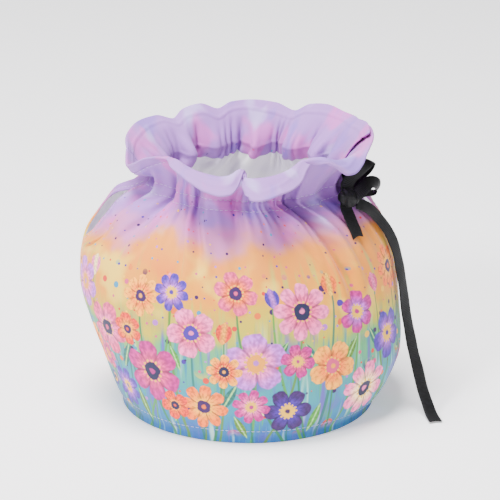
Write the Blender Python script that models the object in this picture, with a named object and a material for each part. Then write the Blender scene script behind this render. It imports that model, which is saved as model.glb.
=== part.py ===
"""Drawstring tea cosy: two printed cloth panels seamed at the sides, gathered into a casing at the
neck with a stand-up ruffle over it, and a black ribbon tied at the handle side.

Millimetres below, metres in the model. +Z up, the hem on z = 0, the spout side at -X, the handle
side at +X and the front panel at -Y. Angles run round the pot from the front, positive to +X.
"""
import math

import bpy
import numpy as np
from mathutils import Vector

MM = 0.001

# Sizes
PANEL_THICK = 2.9          # padded cloth of the body
RUFFLE_THICK = 2.2         # cloth of the ruffle, turned once at the rim
SEAM_GAP = 0.15            # each panel's half of the gap at a closed seam
POT_AXIS_X = 6.3           # the neck's axis, from the middle of the piece's width
POT_AXIS_Y = 0.6
COLUMNS = 47               # columns of a panel's grid
RUFFLE_ROWS = 8            # rows of the ruffle above the casing
PLEATS = 13.0              # gathers of each panel at the neck
EDGE_TURN = 34.0           # degrees over which the threads give way to an opening
EDGE_CALM = 9.0            # degrees beside an edge where the folds die out
CREST_SHARE = 0.56         # how far up the ruffle its crest lies
CREST_TURN = 0.62          # how much of the way round to its rim the cloth has gone at the crest
LEAN = 2.4                 # how strongly the ruffle leaves the casing along the body's line
CLOSED = 0.9               # an edge nearer the seam than this is sewn shut

RIBBON_WIDE = 8.4
RIBBON_THICK = 1.0

# Level courses of the body: radius and height on the four sides, then half the spout opening and
# half the handle slit, the depth of the gathers and the cloth's thickness.
COURSE_NAMES = ("spout_r", "spout_z", "front_r", "front_z", "handle_r", "handle_z",
                "back_r", "back_z", "opening", "slit", "gather", "thick")
COURSES = (
    (83.6, 0.0, 83.0, 0.0, 79.4, 0.0, 82.0, 0.0, 0.0, 0.0, 0.0, 2.9),        # hem
    (83.8, 3.5, 83.2, 3.5, 79.8, 3.5, 82.2, 3.5, 0.0, 0.0, 0.0, 2.9),        # hem_top
    (87.2, 11.0, 86.0, 11.0, 86.0, 11.0, 84.8, 11.0, 0.0, 0.0, 0.0, 2.9),    # foot
    (92.4, 25.0, 88.8, 24.0, 93.0, 24.0, 87.6, 24.0, 0.0, 0.0, 0.0, 2.9),    # low
    (97.5, 40.0, 90.6, 38.0, 96.8, 37.0, 89.6, 38.0, 0.0, 0.4, 0.0, 2.9),    # slit_foot
    (102.6, 54.0, 91.0, 52.0, 97.0, 48.0, 90.0, 52.0, 0.0, 6.2, 0.0, 2.9),   # slit_low
    (107.6, 69.0, 90.6, 66.0, 96.2, 62.0, 89.4, 66.0, 0.0, 7.4, 0.0, 2.9),   # belly
    (110.0, 83.0, 89.4, 80.0, 94.8, 77.0, 88.4, 80.0, 0.0, 7.6, 0.0, 2.9),   # wide
    (109.8, 96.0, 87.4, 93.0, 93.0, 91.0, 86.4, 93.0, 0.0, 7.6, 0.0, 2.9),   # upper
    (108.2, 107.0, 84.2, 104.0, 91.0, 103.0, 83.2, 104.0, 0.0, 7.6, 0.3, 2.9),   # lip_foot
    (106.4, 113.5, 81.4, 112.0, 88.6, 111.0, 80.4, 112.0, 9.0, 7.6, 0.6, 2.9),   # lip_low
    (101.8, 121.5, 77.4, 120.0, 85.6, 118.5, 76.4, 120.0, 16.0, 7.6, 0.9, 2.9),  # lip_wide
    (95.8, 130.0, 72.6, 128.0, 80.6, 127.0, 72.0, 128.0, 16.5, 7.4, 1.1, 2.9),   # lip_mid
    (86.4, 137.5, 67.6, 135.5, 74.6, 135.0, 67.0, 135.5, 9.0, 6.2, 1.3, 2.8),   # lip_high
    (74.6, 142.8, 63.0, 142.0, 67.6, 141.5, 62.8, 142.0, 0.0, 4.6, 1.5, 2.7),    # lip_top
    (65.4, 146.6, 60.0, 146.5, 61.4, 146.5, 60.2, 146.5, 0.0, 3.6, 1.5, 2.5),    # casing_foot
    (62.4, 149.6, 58.6, 149.8, 58.4, 149.8, 59.0, 149.8, 0.0, 3.4, 1.5, 2.4),    # casing_mid
    (61.6, 153.4, 58.4, 153.4, 58.0, 153.4, 58.8, 153.4, 0.0, 3.4, 1.3, 2.3),    # casing_top
)

# Ruffle: angle, then the place of its crest and of its rim (radius and height of each).
RUFFLE_NAMES = ("angle", "crest_r", "crest_z", "rim_r", "rim_z")
RUFFLE_FRONT = (
    (-90.0, 72.5, 159.0, 79.5, 168.5),     # spout seam
    (-80.0, 75.0, 155.5, 80.5, 161.5),     # first lobe's tip
    (-71.0, 73.0, 159.5, 77.5, 166.6),
    (-66.0, 69.5, 165.0, 72.5, 171.0),
    (-60.0, 64.5, 170.0, 67.5, 173.0),
    (-54.0, 62.0, 172.0, 65.5, 173.6),     # notch
    (-46.0, 63.0, 173.0, 69.5, 172.2),
    (-40.0, 64.0, 172.8, 71.5, 170.8),
    (-30.0, 65.5, 171.5, 75.0, 167.4),
    (-21.0, 66.0, 170.5, 77.0, 163.6),     # second lobe
    (-14.5, 66.0, 170.0, 77.5, 162.4),
    (-9.5, 64.5, 170.5, 75.5, 163.2),
    (-6.5, 61.5, 171.5, 68.0, 167.0),
    (-4.2, 59.5, 172.0, 61.0, 173.8),      # deep fold
    (-1.4, 62.5, 170.0, 75.5, 161.0),
    (2.5, 65.0, 169.5, 78.5, 160.2),       # third lobe
    (7.5, 65.8, 169.8, 79.0, 161.4),
    (13.0, 65.5, 170.2, 77.5, 163.3),
    (19.0, 64.5, 171.0, 75.0, 164.6),
    (26.5, 62.5, 172.5, 70.0, 168.0),
    (31.5, 60.0, 173.5, 65.5, 172.5),
    (36.0, 59.5, 175.0, 63.5, 175.2),      # notch
    (40.0, 62.5, 177.0, 69.0, 176.2),
    (44.5, 65.0, 177.8, 74.5, 174.0),
    (50.0, 66.5, 176.0, 78.0, 167.6),      # fourth lobe's drooping tip
    (55.0, 67.5, 174.0, 79.0, 167.0),
    (61.5, 68.0, 172.5, 78.8, 169.6),
    (68.0, 68.4, 171.5, 78.4, 174.0),
    (77.0, 68.8, 171.0, 78.2, 176.8),
    (90.0, 68.8, 170.5, 78.0, 177.6),
    (101.0, 68.8, 170.2, 78.0, 177.4),
    (111.0, 69.0, 168.8, 78.2, 173.5),     # handle end
)
RUFFLE_BACK = (
    (97.0, 64.2, 171.0, 74.2, 180.8),      # handle end, inside the front one
    (100.0, 64.8, 170.6, 74.8, 180.4),
    (107.0, 65.0, 170.0, 75.2, 178.8),
    (113.0, 66.0, 169.2, 75.9, 177.2),
    (121.0, 68.8, 168.4, 78.6, 175.8),
    (129.0, 69.5, 168.0, 79.5, 175.2),
    (140.0, 69.0, 169.0, 78.0, 177.6),     # wide lobe
    (149.0, 67.5, 168.0, 76.0, 176.2),
    (156.5, 65.0, 165.5, 71.5, 171.6),     # notch
    (167.0, 66.0, 167.5, 73.0, 175.4),
    (180.0, 66.5, 168.5, 74.0, 176.4),     # back lobe
    (190.0, 66.0, 168.0, 73.0, 175.8),
    (198.0, 64.5, 166.0, 70.5, 172.6),     # notch
    (207.0, 65.5, 168.0, 73.5, 176.4),
    (216.0, 66.5, 167.5, 75.0, 174.4),     # narrow lobe
    (223.0, 66.5, 165.0, 74.0, 169.8),     # notch
    (232.0, 69.0, 167.0, 79.0, 173.6),
    (244.0, 71.5, 167.0, 81.5, 173.8),     # side lobe
    (257.0, 72.0, 164.5, 81.5, 171.5),
    (270.0, 72.5, 159.0, 79.5, 168.5),     # spout seam
)

# Folds of the body: angle at the casing, at 137, 120, 90 and 60 mm up, depth at the casing and at
# the foot of the fold, half its width, and the height where it has died out.
FOLD_LEVELS = (150.0, 137.0, 120.0, 90.0, 60.0)
FOLD_NAMES = ("casing", "at_137", "at_120", "at_90", "at_60", "depth", "foot_depth", "half", "ends")
FOLDS_FRONT = (
    (-76.0, -74.0, -72.0, -70.0, -70.0, 2.0, 0.8, 4.0, 114.0),
    (-57.0, -58.5, -59.5, -60.0, -60.0, 4.2, 1.2, 5.0, 108.0),
    (-34.0, -29.0, -24.5, -21.5, -20.0, 3.6, 1.2, 3.2, 94.0),
    (-12.0, -11.0, -9.0, -8.0, -8.0, 2.8, 1.4, 7.5, 122.0),
    (12.5, 18.0, 22.0, 25.0, 25.0, 3.0, 0.9, 4.0, 118.0),
    (22.5, 36.0, 42.0, 46.0, 45.0, 3.8, 1.8, 4.2, 62.0),
    (52.0, 56.0, 58.0, 60.0, 60.0, 2.2, 0.6, 4.5, 122.0),
)
FOLDS_BACK = (
    (112.0, 114.0, 116.0, 117.0, 117.0, 2.6, 0.8, 4.5, 116.0),
    (131.0, 128.0, 126.0, 124.0, 124.0, 3.6, 1.4, 4.4, 88.0),
    (152.0, 153.0, 154.0, 155.0, 155.0, 3.0, 0.8, 4.6, 112.0),
    (176.0, 180.0, 184.0, 187.0, 187.0, 3.6, 1.3, 4.4, 92.0),
    (203.0, 201.0, 200.0, 199.0, 199.0, 2.8, 0.8, 5.0, 118.0),
    (224.0, 229.0, 232.0, 234.0, 234.0, 3.6, 1.2, 4.4, 96.0),
    (250.0, 249.0, 248.0, 248.0, 248.0, 2.4, 0.8, 4.6, 118.0),
)

# Lengthways threads of each panel, at the casing and lower down: they run with the folds.
GUIDES_FRONT = (
    (-90.0, -90.0, -90.0, -90.0, -90.0),
    (-57.0, -58.5, -59.5, -60.0, -60.0),
    (-34.0, -29.0, -24.5, -21.5, -21.0),
    (-3.0, 1.0, 3.0, 5.0, 5.0),
    (22.5, 36.0, 42.0, 46.0, 45.0),
    (52.0, 59.0, 63.0, 66.0, 65.0),
    (90.0, 90.0, 90.0, 90.0, 90.0),
)
GUIDES_BACK = (
    (90.0, 90.0, 90.0, 90.0, 90.0),
    (131.0, 128.0, 126.0, 124.0, 124.0),
    (176.0, 180.0, 184.0, 187.0, 187.0),
    (224.0, 229.0, 232.0, 234.0, 234.0),
    (270.0, 270.0, 270.0, 270.0, 270.0),
)

# Ribbon: centre points from the pot's axis, then the way its flat side faces.
KNOT_AT = (60.2, -31.9, 147.2)
KNOT_SIZE = (6.0, 3.8, 5.2)
PATH_NAMES = ("x", "y", "z", "face_x", "face_y", "face_z")
TAIL_LONG = (
    (66.2, -32.6, 143.4, 0.46, -0.62, 0.64),
    (70.6, -29.4, 140.4, 0.55, -0.60, 0.58),
    (75.4, -25.4, 136.4, 0.62, -0.60, 0.50),
    (80.8, -21.6, 129.6, 0.72, -0.60, 0.36),
    (87.6, -19.4, 119.0, 0.76, -0.60, 0.24),
    (93.2, -18.2, 104.0, 0.78, -0.60, 0.14),
    (96.6, -18.0, 86.0, 0.78, -0.62, 0.05),
    (99.0, -18.6, 67.0, 0.76, -0.65, 0.00),
    (101.4, -19.6, 54.0, 0.70, -0.70, 0.00),
    (104.4, -22.2, 38.0, 0.66, -0.75, 0.00),
    (107.6, -25.4, 26.0, 0.62, -0.78, 0.04),
    (110.4, -29.4, 15.4, 0.56, -0.80, 0.12),
    (113.4, -34.0, 7.0, 0.46, -0.72, 0.50),
    (115.4, -39.6, 2.6, 0.26, -0.30, 0.90),
    (117.2, -46.0, 1.2, 0.04, -0.08, 1.00),
    (118.2, -50.0, 1.1, 0.00, 0.00, 1.00),
)
TAIL_SHORT = (
    (59.9, -35.4, 141.2, 0.42, -0.74, 0.52),
    (61.4, -38.8, 138.0, 0.46, -0.68, 0.56),
    (63.6, -42.4, 133.6, 0.50, -0.66, 0.56),
    (66.2, -45.2, 128.6, 0.54, -0.70, 0.46),
    (67.6, -46.6, 124.6, 0.56, -0.74, 0.36),
)
LOOP_UPPER = (
    (60.6, -29.6, 153.2, 0.36, -0.90, 0.26),
    (62.2, -27.6, 157.0, 0.40, -0.86, 0.30),
    (65.0, -26.2, 160.0, 0.44, -0.84, 0.32),
    (68.4, -25.4, 162.8, 0.44, -0.84, 0.32),
    (71.4, -23.6, 165.6, 0.42, -0.78, 0.46),
    (73.8, -20.4, 167.2, 0.30, -0.20, 0.93),
    (75.2, -16.8, 165.6, 0.52, 0.78, 0.34),
    (74.3, -14.8, 162.4, 0.50, 0.86, 0.02),
    (71.4, -16.0, 159.0, 0.44, 0.88, -0.16),
    (69.8, -17.8, 157.8, 0.40, 0.88, -0.24),
)
LOOP_HANDLE = (
    (68.8, -30.2, 149.9, 0.10, -0.62, 0.78),
    (71.7, -27.3, 152.2, 0.14, -0.60, 0.78),
    (75.0, -23.6, 154.0, 0.34, -0.56, 0.76),
    (78.4, -20.2, 152.9, 0.74, -0.46, 0.50),
    (80.6, -17.8, 150.0, 0.90, -0.40, -0.10),
    (79.8, -16.6, 146.4, 0.60, -0.30, -0.76),
    (77.0, -17.8, 145.6, -0.06, 0.10, -0.99),
    (74.0, -20.4, 146.6, -0.30, 0.30, -0.90),
    (71.4, -23.4, 147.6, -0.38, 0.34, -0.86),
    (69.6, -25.6, 148.0, -0.38, 0.34, -0.86),
)
LEAD_FRONT = (
    (57.6, -2.0, 150.6, -1.0, 0.0, 0.0),
    (58.6, -0.8, 150.6, -0.60, 0.80, 0.0),
    (60.6, -0.9, 150.6, 0.40, 0.92, 0.0),
    (62.6, -3.2, 150.4, 0.90, 0.44, 0.0),
    (63.7, -9.0, 149.8, 1.0, -0.02, 0.0),
    (63.8, -15.0, 149.2, 0.98, -0.20, 0.0),
    (62.6, -22.4, 148.6, 0.93, -0.36, 0.0),
)
LEAD_BACK = (
    (57.2, 2.2, 150.8, 1.0, 0.0, 0.0),
    (59.6, 1.6, 150.8, 0.62, 0.78, 0.0),
    (63.0, 0.2, 150.8, 0.70, 0.70, 0.0),
    (65.6, -3.6, 150.6, 0.94, 0.34, 0.0),
    (66.6, -10.0, 150.0, 1.0, 0.0, 0.0),
    (66.2, -16.8, 149.5, 0.97, -0.20, 0.04),
    (65.0, -22.8, 148.8, 0.94, -0.34, 0.06),
)


# Scene
for old in list(bpy.data.objects):
    bpy.data.objects.remove(old, do_unlink=True)
COSY = bpy.data.collections.new("tea_cosy")
bpy.context.scene.collection.children.link(COSY)


def material(name, colour, rough, metal=0.0):
    """Makes a plain Principled material of one colour."""
    mat = bpy.data.materials.new(name)
    mat.use_nodes = True
    shader = mat.node_tree.nodes["Principled BSDF"]
    shader.inputs["Base Color"].default_value = (*colour, 1.0)
    shader.inputs["Roughness"].default_value = rough
    shader.inputs["Metallic"].default_value = metal
    mat.diffuse_color = (*colour, 1.0)
    return mat


def smooth(t):
    """Eases 0..1 with level ends."""
    t = np.clip(t, 0.0, 1.0)
    return t * t * (3.0 - 2.0 * t)


def curve(at, knots, values):
    """Reads a shape-keeping cubic through the table's points: no overshoot between its rows."""
    knots = np.asarray(knots, float)
    values = np.asarray(values, float)
    step = np.diff(knots)
    slope = np.diff(values) / step
    tangent = np.zeros(len(knots))
    tangent[0], tangent[-1] = slope[0], slope[-1]
    for i in range(1, len(knots) - 1):
        if slope[i - 1] * slope[i] > 0.0:
            near, far = 2.0 * step[i] + step[i - 1], step[i] + 2.0 * step[i - 1]
            tangent[i] = (near + far) / (near / slope[i - 1] + far / slope[i])
    at = np.clip(at, knots[0], knots[-1])
    i = np.clip(np.searchsorted(knots, at, side="right") - 1, 0, len(step) - 1)
    t = (at - knots[i]) / step[i]
    return (values[i] * (1 + 2 * t) * (1 - t) ** 2 + tangent[i] * step[i] * t * (1 - t) ** 2
            + values[i + 1] * t * t * (3 - 2 * t) - tangent[i + 1] * step[i] * t * t * (1 - t))


def level(table, height):
    """Reads a row of angles given at FOLD_LEVELS at one height."""
    return np.interp(-height, [-z for z in FOLD_LEVELS], table[:5])


def spread(count, low, high, near, tight, pull):
    """Places columns from low to high, closer together by each angle listed in near."""
    fine = np.linspace(low, high, 1800)
    weight = np.ones_like(fine)
    for angle in near:
        weight += pull * np.exp(-((fine - angle) / tight) ** 2)
    total = np.concatenate(([0.0], np.cumsum((weight[1:] + weight[:-1]) / 2)))
    return np.interp(np.linspace(0.0, total[-1], count), total, fine)


def ellipse(angle, row):
    """Radius and height of a course at an angle, from its four sides."""
    sin, cos = math.sin(math.radians(angle)), math.cos(math.radians(angle))
    across, across_z = (row["handle_r"], row["handle_z"]) if sin > 0 else (row["spout_r"], row["spout_z"])
    along, along_z = (row["front_r"], row["front_z"]) if cos > 0 else (row["back_r"], row["back_z"])
    radius = 1.0 / math.hypot(sin / across, cos / along)
    return radius, across_z * sin * sin + along_z * cos * cos


def pleat(angle, first):
    """Uneven gathers from -1 (valley) to 1 (ridge), level at the panel's ends."""
    t = (angle - first) / 180.0
    wave = math.sin(2 * math.pi * (PLEATS * t + 0.22 * math.sin(2 * math.pi * 1.7 * t + first)))
    swell = 0.78 + 0.22 * math.sin(2 * math.pi * 3.1 * t + 0.6)
    return wave * swell * float(smooth(t / 0.05)) * float(smooth((1 - t) / 0.05))


def fold_push(angle, height, radius, folds):
    """Sum of the troughs at one point of the body, with a low ridge beside each."""
    push = 0.0
    for fold in folds:
        row = dict(zip(FOLD_NAMES, fold))
        fade = float(smooth((height - row["ends"]) / (150.0 - row["ends"]) * 1.6))
        if fade <= 0.0 or height > 158.0:
            continue
        depth = row["foot_depth"] + (row["depth"] - row["foot_depth"]) * float(
            smooth((height - row["ends"]) / (150.0 - row["ends"])))
        away = math.radians(angle - level(fold, height)) * radius
        push -= fade * depth * math.exp(-(away / row["half"]) ** 2)
        for side in (-1.0, 1.0):
            push += 0.42 * fade * depth * math.exp(-((away - side * 2.1 * row["half"]) / row["half"]) ** 2)
    return push


def panel_points(first, guides, folds, ruffle, angles):
    """Outer and inner faces of a panel as rows of points, from the hem up to the ruffle's rim."""
    guide = np.array(guides)
    rim = dict(zip(RUFFLE_NAMES, np.array(ruffle).T))
    rim_first, rim_last = rim["angle"][0], rim["angle"][-1]
    outer, flat, thick = [], [], []
    for course in COURSES:
        row = dict(zip(COURSE_NAMES, course))
        line, plain = [], []
        for thread in angles:
            at = float(np.interp(thread, guide[:, 0], [level(g, row["front_z"]) for g in guides]))
            ends = []
            for end in (first, first + 180.0):
                spout = abs(abs(end) - 90.0) < 1 and end < 0 or end > 200
                gap = max(SEAM_GAP, row["opening"] if spout else row["slit"])
                radius, _ = ellipse(end, row)
                ends.append(math.degrees(math.asin(gap / radius)))
            at += ends[0] * float(1 - smooth((thread - first) / EDGE_TURN))
            at -= ends[1] * float(1 - smooth((first + 180.0 - thread) / EDGE_TURN))
            radius, height = ellipse(at, row)
            edge = min(smooth((thread - first) / EDGE_CALM), smooth((first + 180.0 - thread) / EDGE_CALM))
            bend = fold_push(at, height, radius, folds) * float(edge)
            bend += row["gather"] * pleat(thread, first)
            sin, cos = math.sin(math.radians(at)), math.cos(math.radians(at))
            line.append(((radius + bend) * sin, -(radius + bend) * cos, height + 0.25 * bend))
            plain.append((radius * sin, -radius * cos, height))
        outer.append(line)
        flat.append(plain)
        thick.append(row["thick"])
    casing = outer[-1]
    below = outer[-2]
    for step in range(1, RUFFLE_ROWS + 1):
        t = step / RUFFLE_ROWS
        line, plain = [], []
        for index, thread in enumerate(angles):
            share = (thread - first) / 180.0
            at_rim = rim_first + (rim_last - rim_first) * share
            start = np.array(casing[index])
            crest_r, crest_z, rim_r, rim_z = (float(curve(at_rim, rim["angle"], rim[name]))
                                              for name in RUFFLE_NAMES[1:])
            at_neck = math.degrees(math.atan2(start[0], -start[1]))
            if at_neck < first - 45.0:
                at_neck += 360.0
            at_crest = at_neck + (at_rim - at_neck) * CREST_TURN
            crest = np.array((crest_r * math.sin(math.radians(at_crest)),
                              -crest_r * math.cos(math.radians(at_crest)), crest_z))
            top = np.array((rim_r * math.sin(math.radians(at_rim)),
                            -rim_r * math.cos(math.radians(at_rim)), rim_z))
            lean = (start - np.array(below[index])) * LEAN
            out = (top - start) * 0.45
            if t <= CREST_SHARE:
                s = t / CREST_SHARE
                point = (start * (1 + 2 * s) * (1 - s) ** 2 + lean * s * (1 - s) ** 2
                         + crest * s * s * (3 - 2 * s) - out * s * s * (1 - s))
            else:
                s = (t - CREST_SHARE) / (1 - CREST_SHARE)
                away = (top - crest) * 1.05
                point = (crest * (1 + 2 * s) * (1 - s) ** 2 + out * s * (1 - s) ** 2
                         + top * s * s * (3 - 2 * s) - away * s * s * (1 - s))
            if abs(thread - first) < 1e-6 or abs(thread - first - 180.0) < 1e-6:
                spout_end = point[0] < 0
                if spout_end:
                    point[1] = -SEAM_GAP if first < 0 else SEAM_GAP
            line.append(tuple(point))
            plain.append(tuple(point))
        outer.append(line)
        flat.append(plain)
        thick.append(RUFFLE_THICK)
    outer, flat = np.array(outer), np.array(flat)
    for line in (outer, flat):
        for column, end in ((0, first), (-1, first + 180.0)):
            closed = np.abs(line[:, column, 1]) < CLOSED
            line[closed, column, 1] = -SEAM_GAP if first < 0 else SEAM_GAP
    return outer, flat, np.array(thick)


def inner_face(outer, flat, thick):
    """Offsets the smooth surface inwards by the cloth's thickness, with half of the gathers kept."""
    base = outer * 0.55 + flat * 0.45
    along = np.gradient(base, axis=1)
    up = np.gradient(base, axis=0)
    normal = np.cross(along, up)
    for _ in range(2):
        normal /= np.linalg.norm(normal, axis=2, keepdims=True)
        padded = np.pad(normal, ((1, 1), (1, 1), (0, 0)), mode="edge")
        normal = (padded[1:-1, 1:-1] * 2 + padded[:-2, 1:-1] + padded[2:, 1:-1]
                  + padded[1:-1, :-2] + padded[1:-1, 2:])
    normal[:2, :, 2] = 0.0
    for column in (0, -1):
        closed = np.abs(outer[:, column, 1]) < CLOSED
        normal[closed, column, 1] = 0.0
    normal /= np.linalg.norm(normal, axis=2, keepdims=True)
    return base - normal * thick[:, None, None]


def shell(name, outer, inner, mat):
    """Closes an outer and an inner grid into one solid with an edge band all the way round."""
    rows, columns = outer.shape[:2]
    shift = np.array((POT_AXIS_X, POT_AXIS_Y, 0.0))
    points = np.concatenate(((outer + shift).reshape(-1, 3), (inner + shift).reshape(-1, 3))) * MM
    half = rows * columns
    faces = []

    def number(row, column, side):
        return side * half + row * columns + column

    for row in range(rows - 1):
        for column in range(columns - 1):
            a, b = number(row, column, 0), number(row, column + 1, 0)
            c, d = number(row + 1, column + 1, 0), number(row + 1, column, 0)
            faces.append((a, b, c, d))
            faces.append((d + half, c + half, b + half, a + half))
    for column in range(columns - 1):
        faces.append((number(0, column, 1), number(0, column + 1, 1),
                      number(0, column + 1, 0), number(0, column, 0)))
        faces.append((number(rows - 1, column, 0), number(rows - 1, column + 1, 0),
                      number(rows - 1, column + 1, 1), number(rows - 1, column, 1)))
    for row in range(rows - 1):
        faces.append((number(row, 0, 0), number(row + 1, 0, 0), number(row + 1, 0, 1), number(row, 0, 1)))
        faces.append((number(row, columns - 1, 1), number(row + 1, columns - 1, 1),
                      number(row + 1, columns - 1, 0), number(row, columns - 1, 0)))
    return add(name, points, faces, mat)


def add(name, points, faces, mat):
    """Makes one object of the collection from points and faces."""
    mesh = bpy.data.meshes.new(name)
    mesh.from_pydata([tuple(p) for p in points], [], faces)
    mesh.update()
    mesh.materials.append(mat)
    obj = bpy.data.objects.new(name, mesh)
    COSY.objects.link(obj)
    return obj


def panel(name, first, guides, folds, ruffle, mat):
    """Builds one printed panel with its half of the ruffle."""
    near = [f[0] for f in folds]
    share = [(r[0] - ruffle[0][0]) / (ruffle[-1][0] - ruffle[0][0]) * 180.0 + first for r in ruffle]
    tight = [share[i] for i in range(1, len(ruffle)) if ruffle[i][0] - ruffle[i - 1][0] < 6.0]
    angles = spread(COLUMNS, first, first + 180.0, near + tight, 5.0, 0.9)
    outer, flat, thick = panel_points(first, guides, folds, ruffle, angles)
    return shell(name, outer, inner_face(outer, flat, thick), mat)


def ribbon(name, path, mat, cut=0.0, step=4.5, wide=RIBBON_WIDE):
    """Sweeps a flat ribbon along a path, its flat side facing as the path's rows say."""
    rows = np.array(path)
    lengths = np.concatenate(([0.0], np.cumsum(np.linalg.norm(np.diff(rows[:, :3], axis=0), axis=1))))
    count = max(6, int(lengths[-1] / step))
    at = np.linspace(0.0, lengths[-1], count)
    fine = np.stack([curve(at, lengths, rows[:, k]) for k in range(len(PATH_NAMES))], axis=1)
    centre, facing = fine[:, :3], fine[:, 3:]
    tangent = np.gradient(centre, axis=0)
    points, faces = [], []
    for i in range(count):
        way = Vector(tangent[i]).normalized()
        out = Vector(facing[i])
        out = (out - way * out.dot(way)).normalized()
        side = way.cross(out)
        for lift, share in ((0.5, -1), (0.5, 0), (0.5, 1), (-0.5, 1), (-0.5, 0), (-0.5, -1)):
            notch = cut * (1 - abs(share)) if i == count - 1 else 0.0
            crown = 0.25 * (1 - abs(share))
            p = (Vector(centre[i]) + side * (share * wide / 2) - way * notch
                 + out * (lift * RIBBON_THICK + crown))
            points.append((p + Vector((POT_AXIS_X, POT_AXIS_Y, 0.0))) * MM)
    for i in range(count - 1):
        for k in range(6):
            a, b = i * 6 + k, i * 6 + (k + 1) % 6
            faces.append((a, b, b + 6, a + 6))
    last = (count - 1) * 6
    faces += [(5, 4, 1, 0), (4, 3, 2, 1), (last, last + 1, last + 4, last + 5),
              (last + 1, last + 2, last + 3, last + 4)]
    return add(name, points, faces, mat)


def knot(name, mat):
    """Makes the pulled-tight knot: a rounded lump with a shallow waist where the ribbon wraps it."""
    points, faces = [], []
    rings, spokes = 9, 16
    along = Vector((0.52, 0.80, 0.05)).normalized()
    out = Vector((0.78, -0.50, 0.28))
    out = (out - along * out.dot(along)).normalized()
    up = out.cross(along)
    centre = Vector(KNOT_AT)
    for ring in range(1, rings):
        t = math.pi * ring / rings
        for spoke in range(spokes):
            a = 2 * math.pi * spoke / spokes
            waist = 1.0 - 0.10 * math.exp(-((t - math.pi / 2) / 0.28) ** 2)
            square = 1.0 + 0.10 * math.cos(2 * a) ** 2
            r = math.sin(t) ** 0.7 * waist * square
            p = (centre + along * (-math.cos(t) * KNOT_SIZE[0]) + out * (r * KNOT_SIZE[1] * math.cos(a))
                 + up * (r * KNOT_SIZE[2] * math.sin(a)))
            points.append((p + Vector((POT_AXIS_X, POT_AXIS_Y, 0.0))) * MM)
    for sign in (-1, 1):
        p = centre + along * (sign * KNOT_SIZE[0])
        points.append((p + Vector((POT_AXIS_X, POT_AXIS_Y, 0.0))) * MM)
    poles = (rings - 1) * spokes
    for ring in range(rings - 2):
        for s in range(spokes):
            a, b = ring * spokes + s, ring * spokes + (s + 1) % spokes
            faces.append((a, a + spokes, b + spokes, b))
    for s in range(spokes):
        faces.append((poles, s, (s + 1) % spokes))
        base = (rings - 2) * spokes
        faces.append((poles + 1, base + (s + 1) % spokes, base + s))
    return add(name, points, faces, mat)


def main():
    """Builds the two panels and the tied ribbon."""
    cloth = material("printed_cloth", (0.62, 0.52, 0.74), 0.85)
    black = material("black_ribbon", (0.012, 0.012, 0.014), 0.55)
    panel("front_panel", -90.0, GUIDES_FRONT, FOLDS_FRONT, RUFFLE_FRONT, cloth)
    panel("back_panel", 90.0, GUIDES_BACK, FOLDS_BACK, RUFFLE_BACK, cloth)
    knot("ribbon_knot", black)
    ribbon("ribbon_tail_long", TAIL_LONG, black, cut=0.9)
    ribbon("ribbon_tail_short", TAIL_SHORT, black, cut=1.6)
    ribbon("ribbon_loop_upper", LOOP_UPPER, black, step=3.0)
    ribbon("ribbon_loop_handle", LOOP_HANDLE, black, step=2.6)
    ribbon("ribbon_lead_front", LEAD_FRONT, black, step=1.6)
    ribbon("ribbon_lead_back", LEAD_BACK, black, step=2.4)


main()
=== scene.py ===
"""Dressing of a drawstring tea cosy: two printed cloth panels seamed at the sides, gathered at the neck
into a casing with a stand-up ruffle, plain white inside, and a black ribbed ribbon tied at the handle side.

Sizes are millimetres from the pot's axis unless a name says otherwise, and meshes are made in metres.
+Z is up with the hem on z = 0, the spout side at -X, the handle side at +X and the front panel at -Y.
Angles run round the pot from the front, positive towards +X.
"""
import logging
import math
from dataclasses import dataclass, field
from enum import Enum
from functools import partial
from typing import Any, Sequence

import bpy
import numpy as np
from bpy.types import Material, Node, NodeSocket, NodeTree, Object
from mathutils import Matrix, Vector


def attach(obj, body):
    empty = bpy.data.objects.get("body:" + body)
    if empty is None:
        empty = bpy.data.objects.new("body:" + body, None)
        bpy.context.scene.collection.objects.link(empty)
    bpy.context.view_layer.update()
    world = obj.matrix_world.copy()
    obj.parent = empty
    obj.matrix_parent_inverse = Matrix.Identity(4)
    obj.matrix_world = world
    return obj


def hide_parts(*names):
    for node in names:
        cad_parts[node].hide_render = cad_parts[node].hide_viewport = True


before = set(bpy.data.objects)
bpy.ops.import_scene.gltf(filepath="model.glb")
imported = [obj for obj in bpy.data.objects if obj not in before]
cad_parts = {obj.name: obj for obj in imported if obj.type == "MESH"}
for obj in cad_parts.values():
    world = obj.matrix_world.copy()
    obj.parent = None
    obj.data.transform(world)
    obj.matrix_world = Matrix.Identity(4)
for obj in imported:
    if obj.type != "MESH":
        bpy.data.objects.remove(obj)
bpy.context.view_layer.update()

LOG = logging.getLogger("tea_cosy")

MM = 0.001
POT_AXIS = np.array((6.3, 0.6, 0.0))    # the neck's axis, from the middle of the piece's width
BODY = "root"                           # cloth has no joints, so every piece rides on the one body
WAIT = (1e-6, 1e-6, 1e-6)               # ties a motif to the colour under it, so they are worked out in turn

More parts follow.
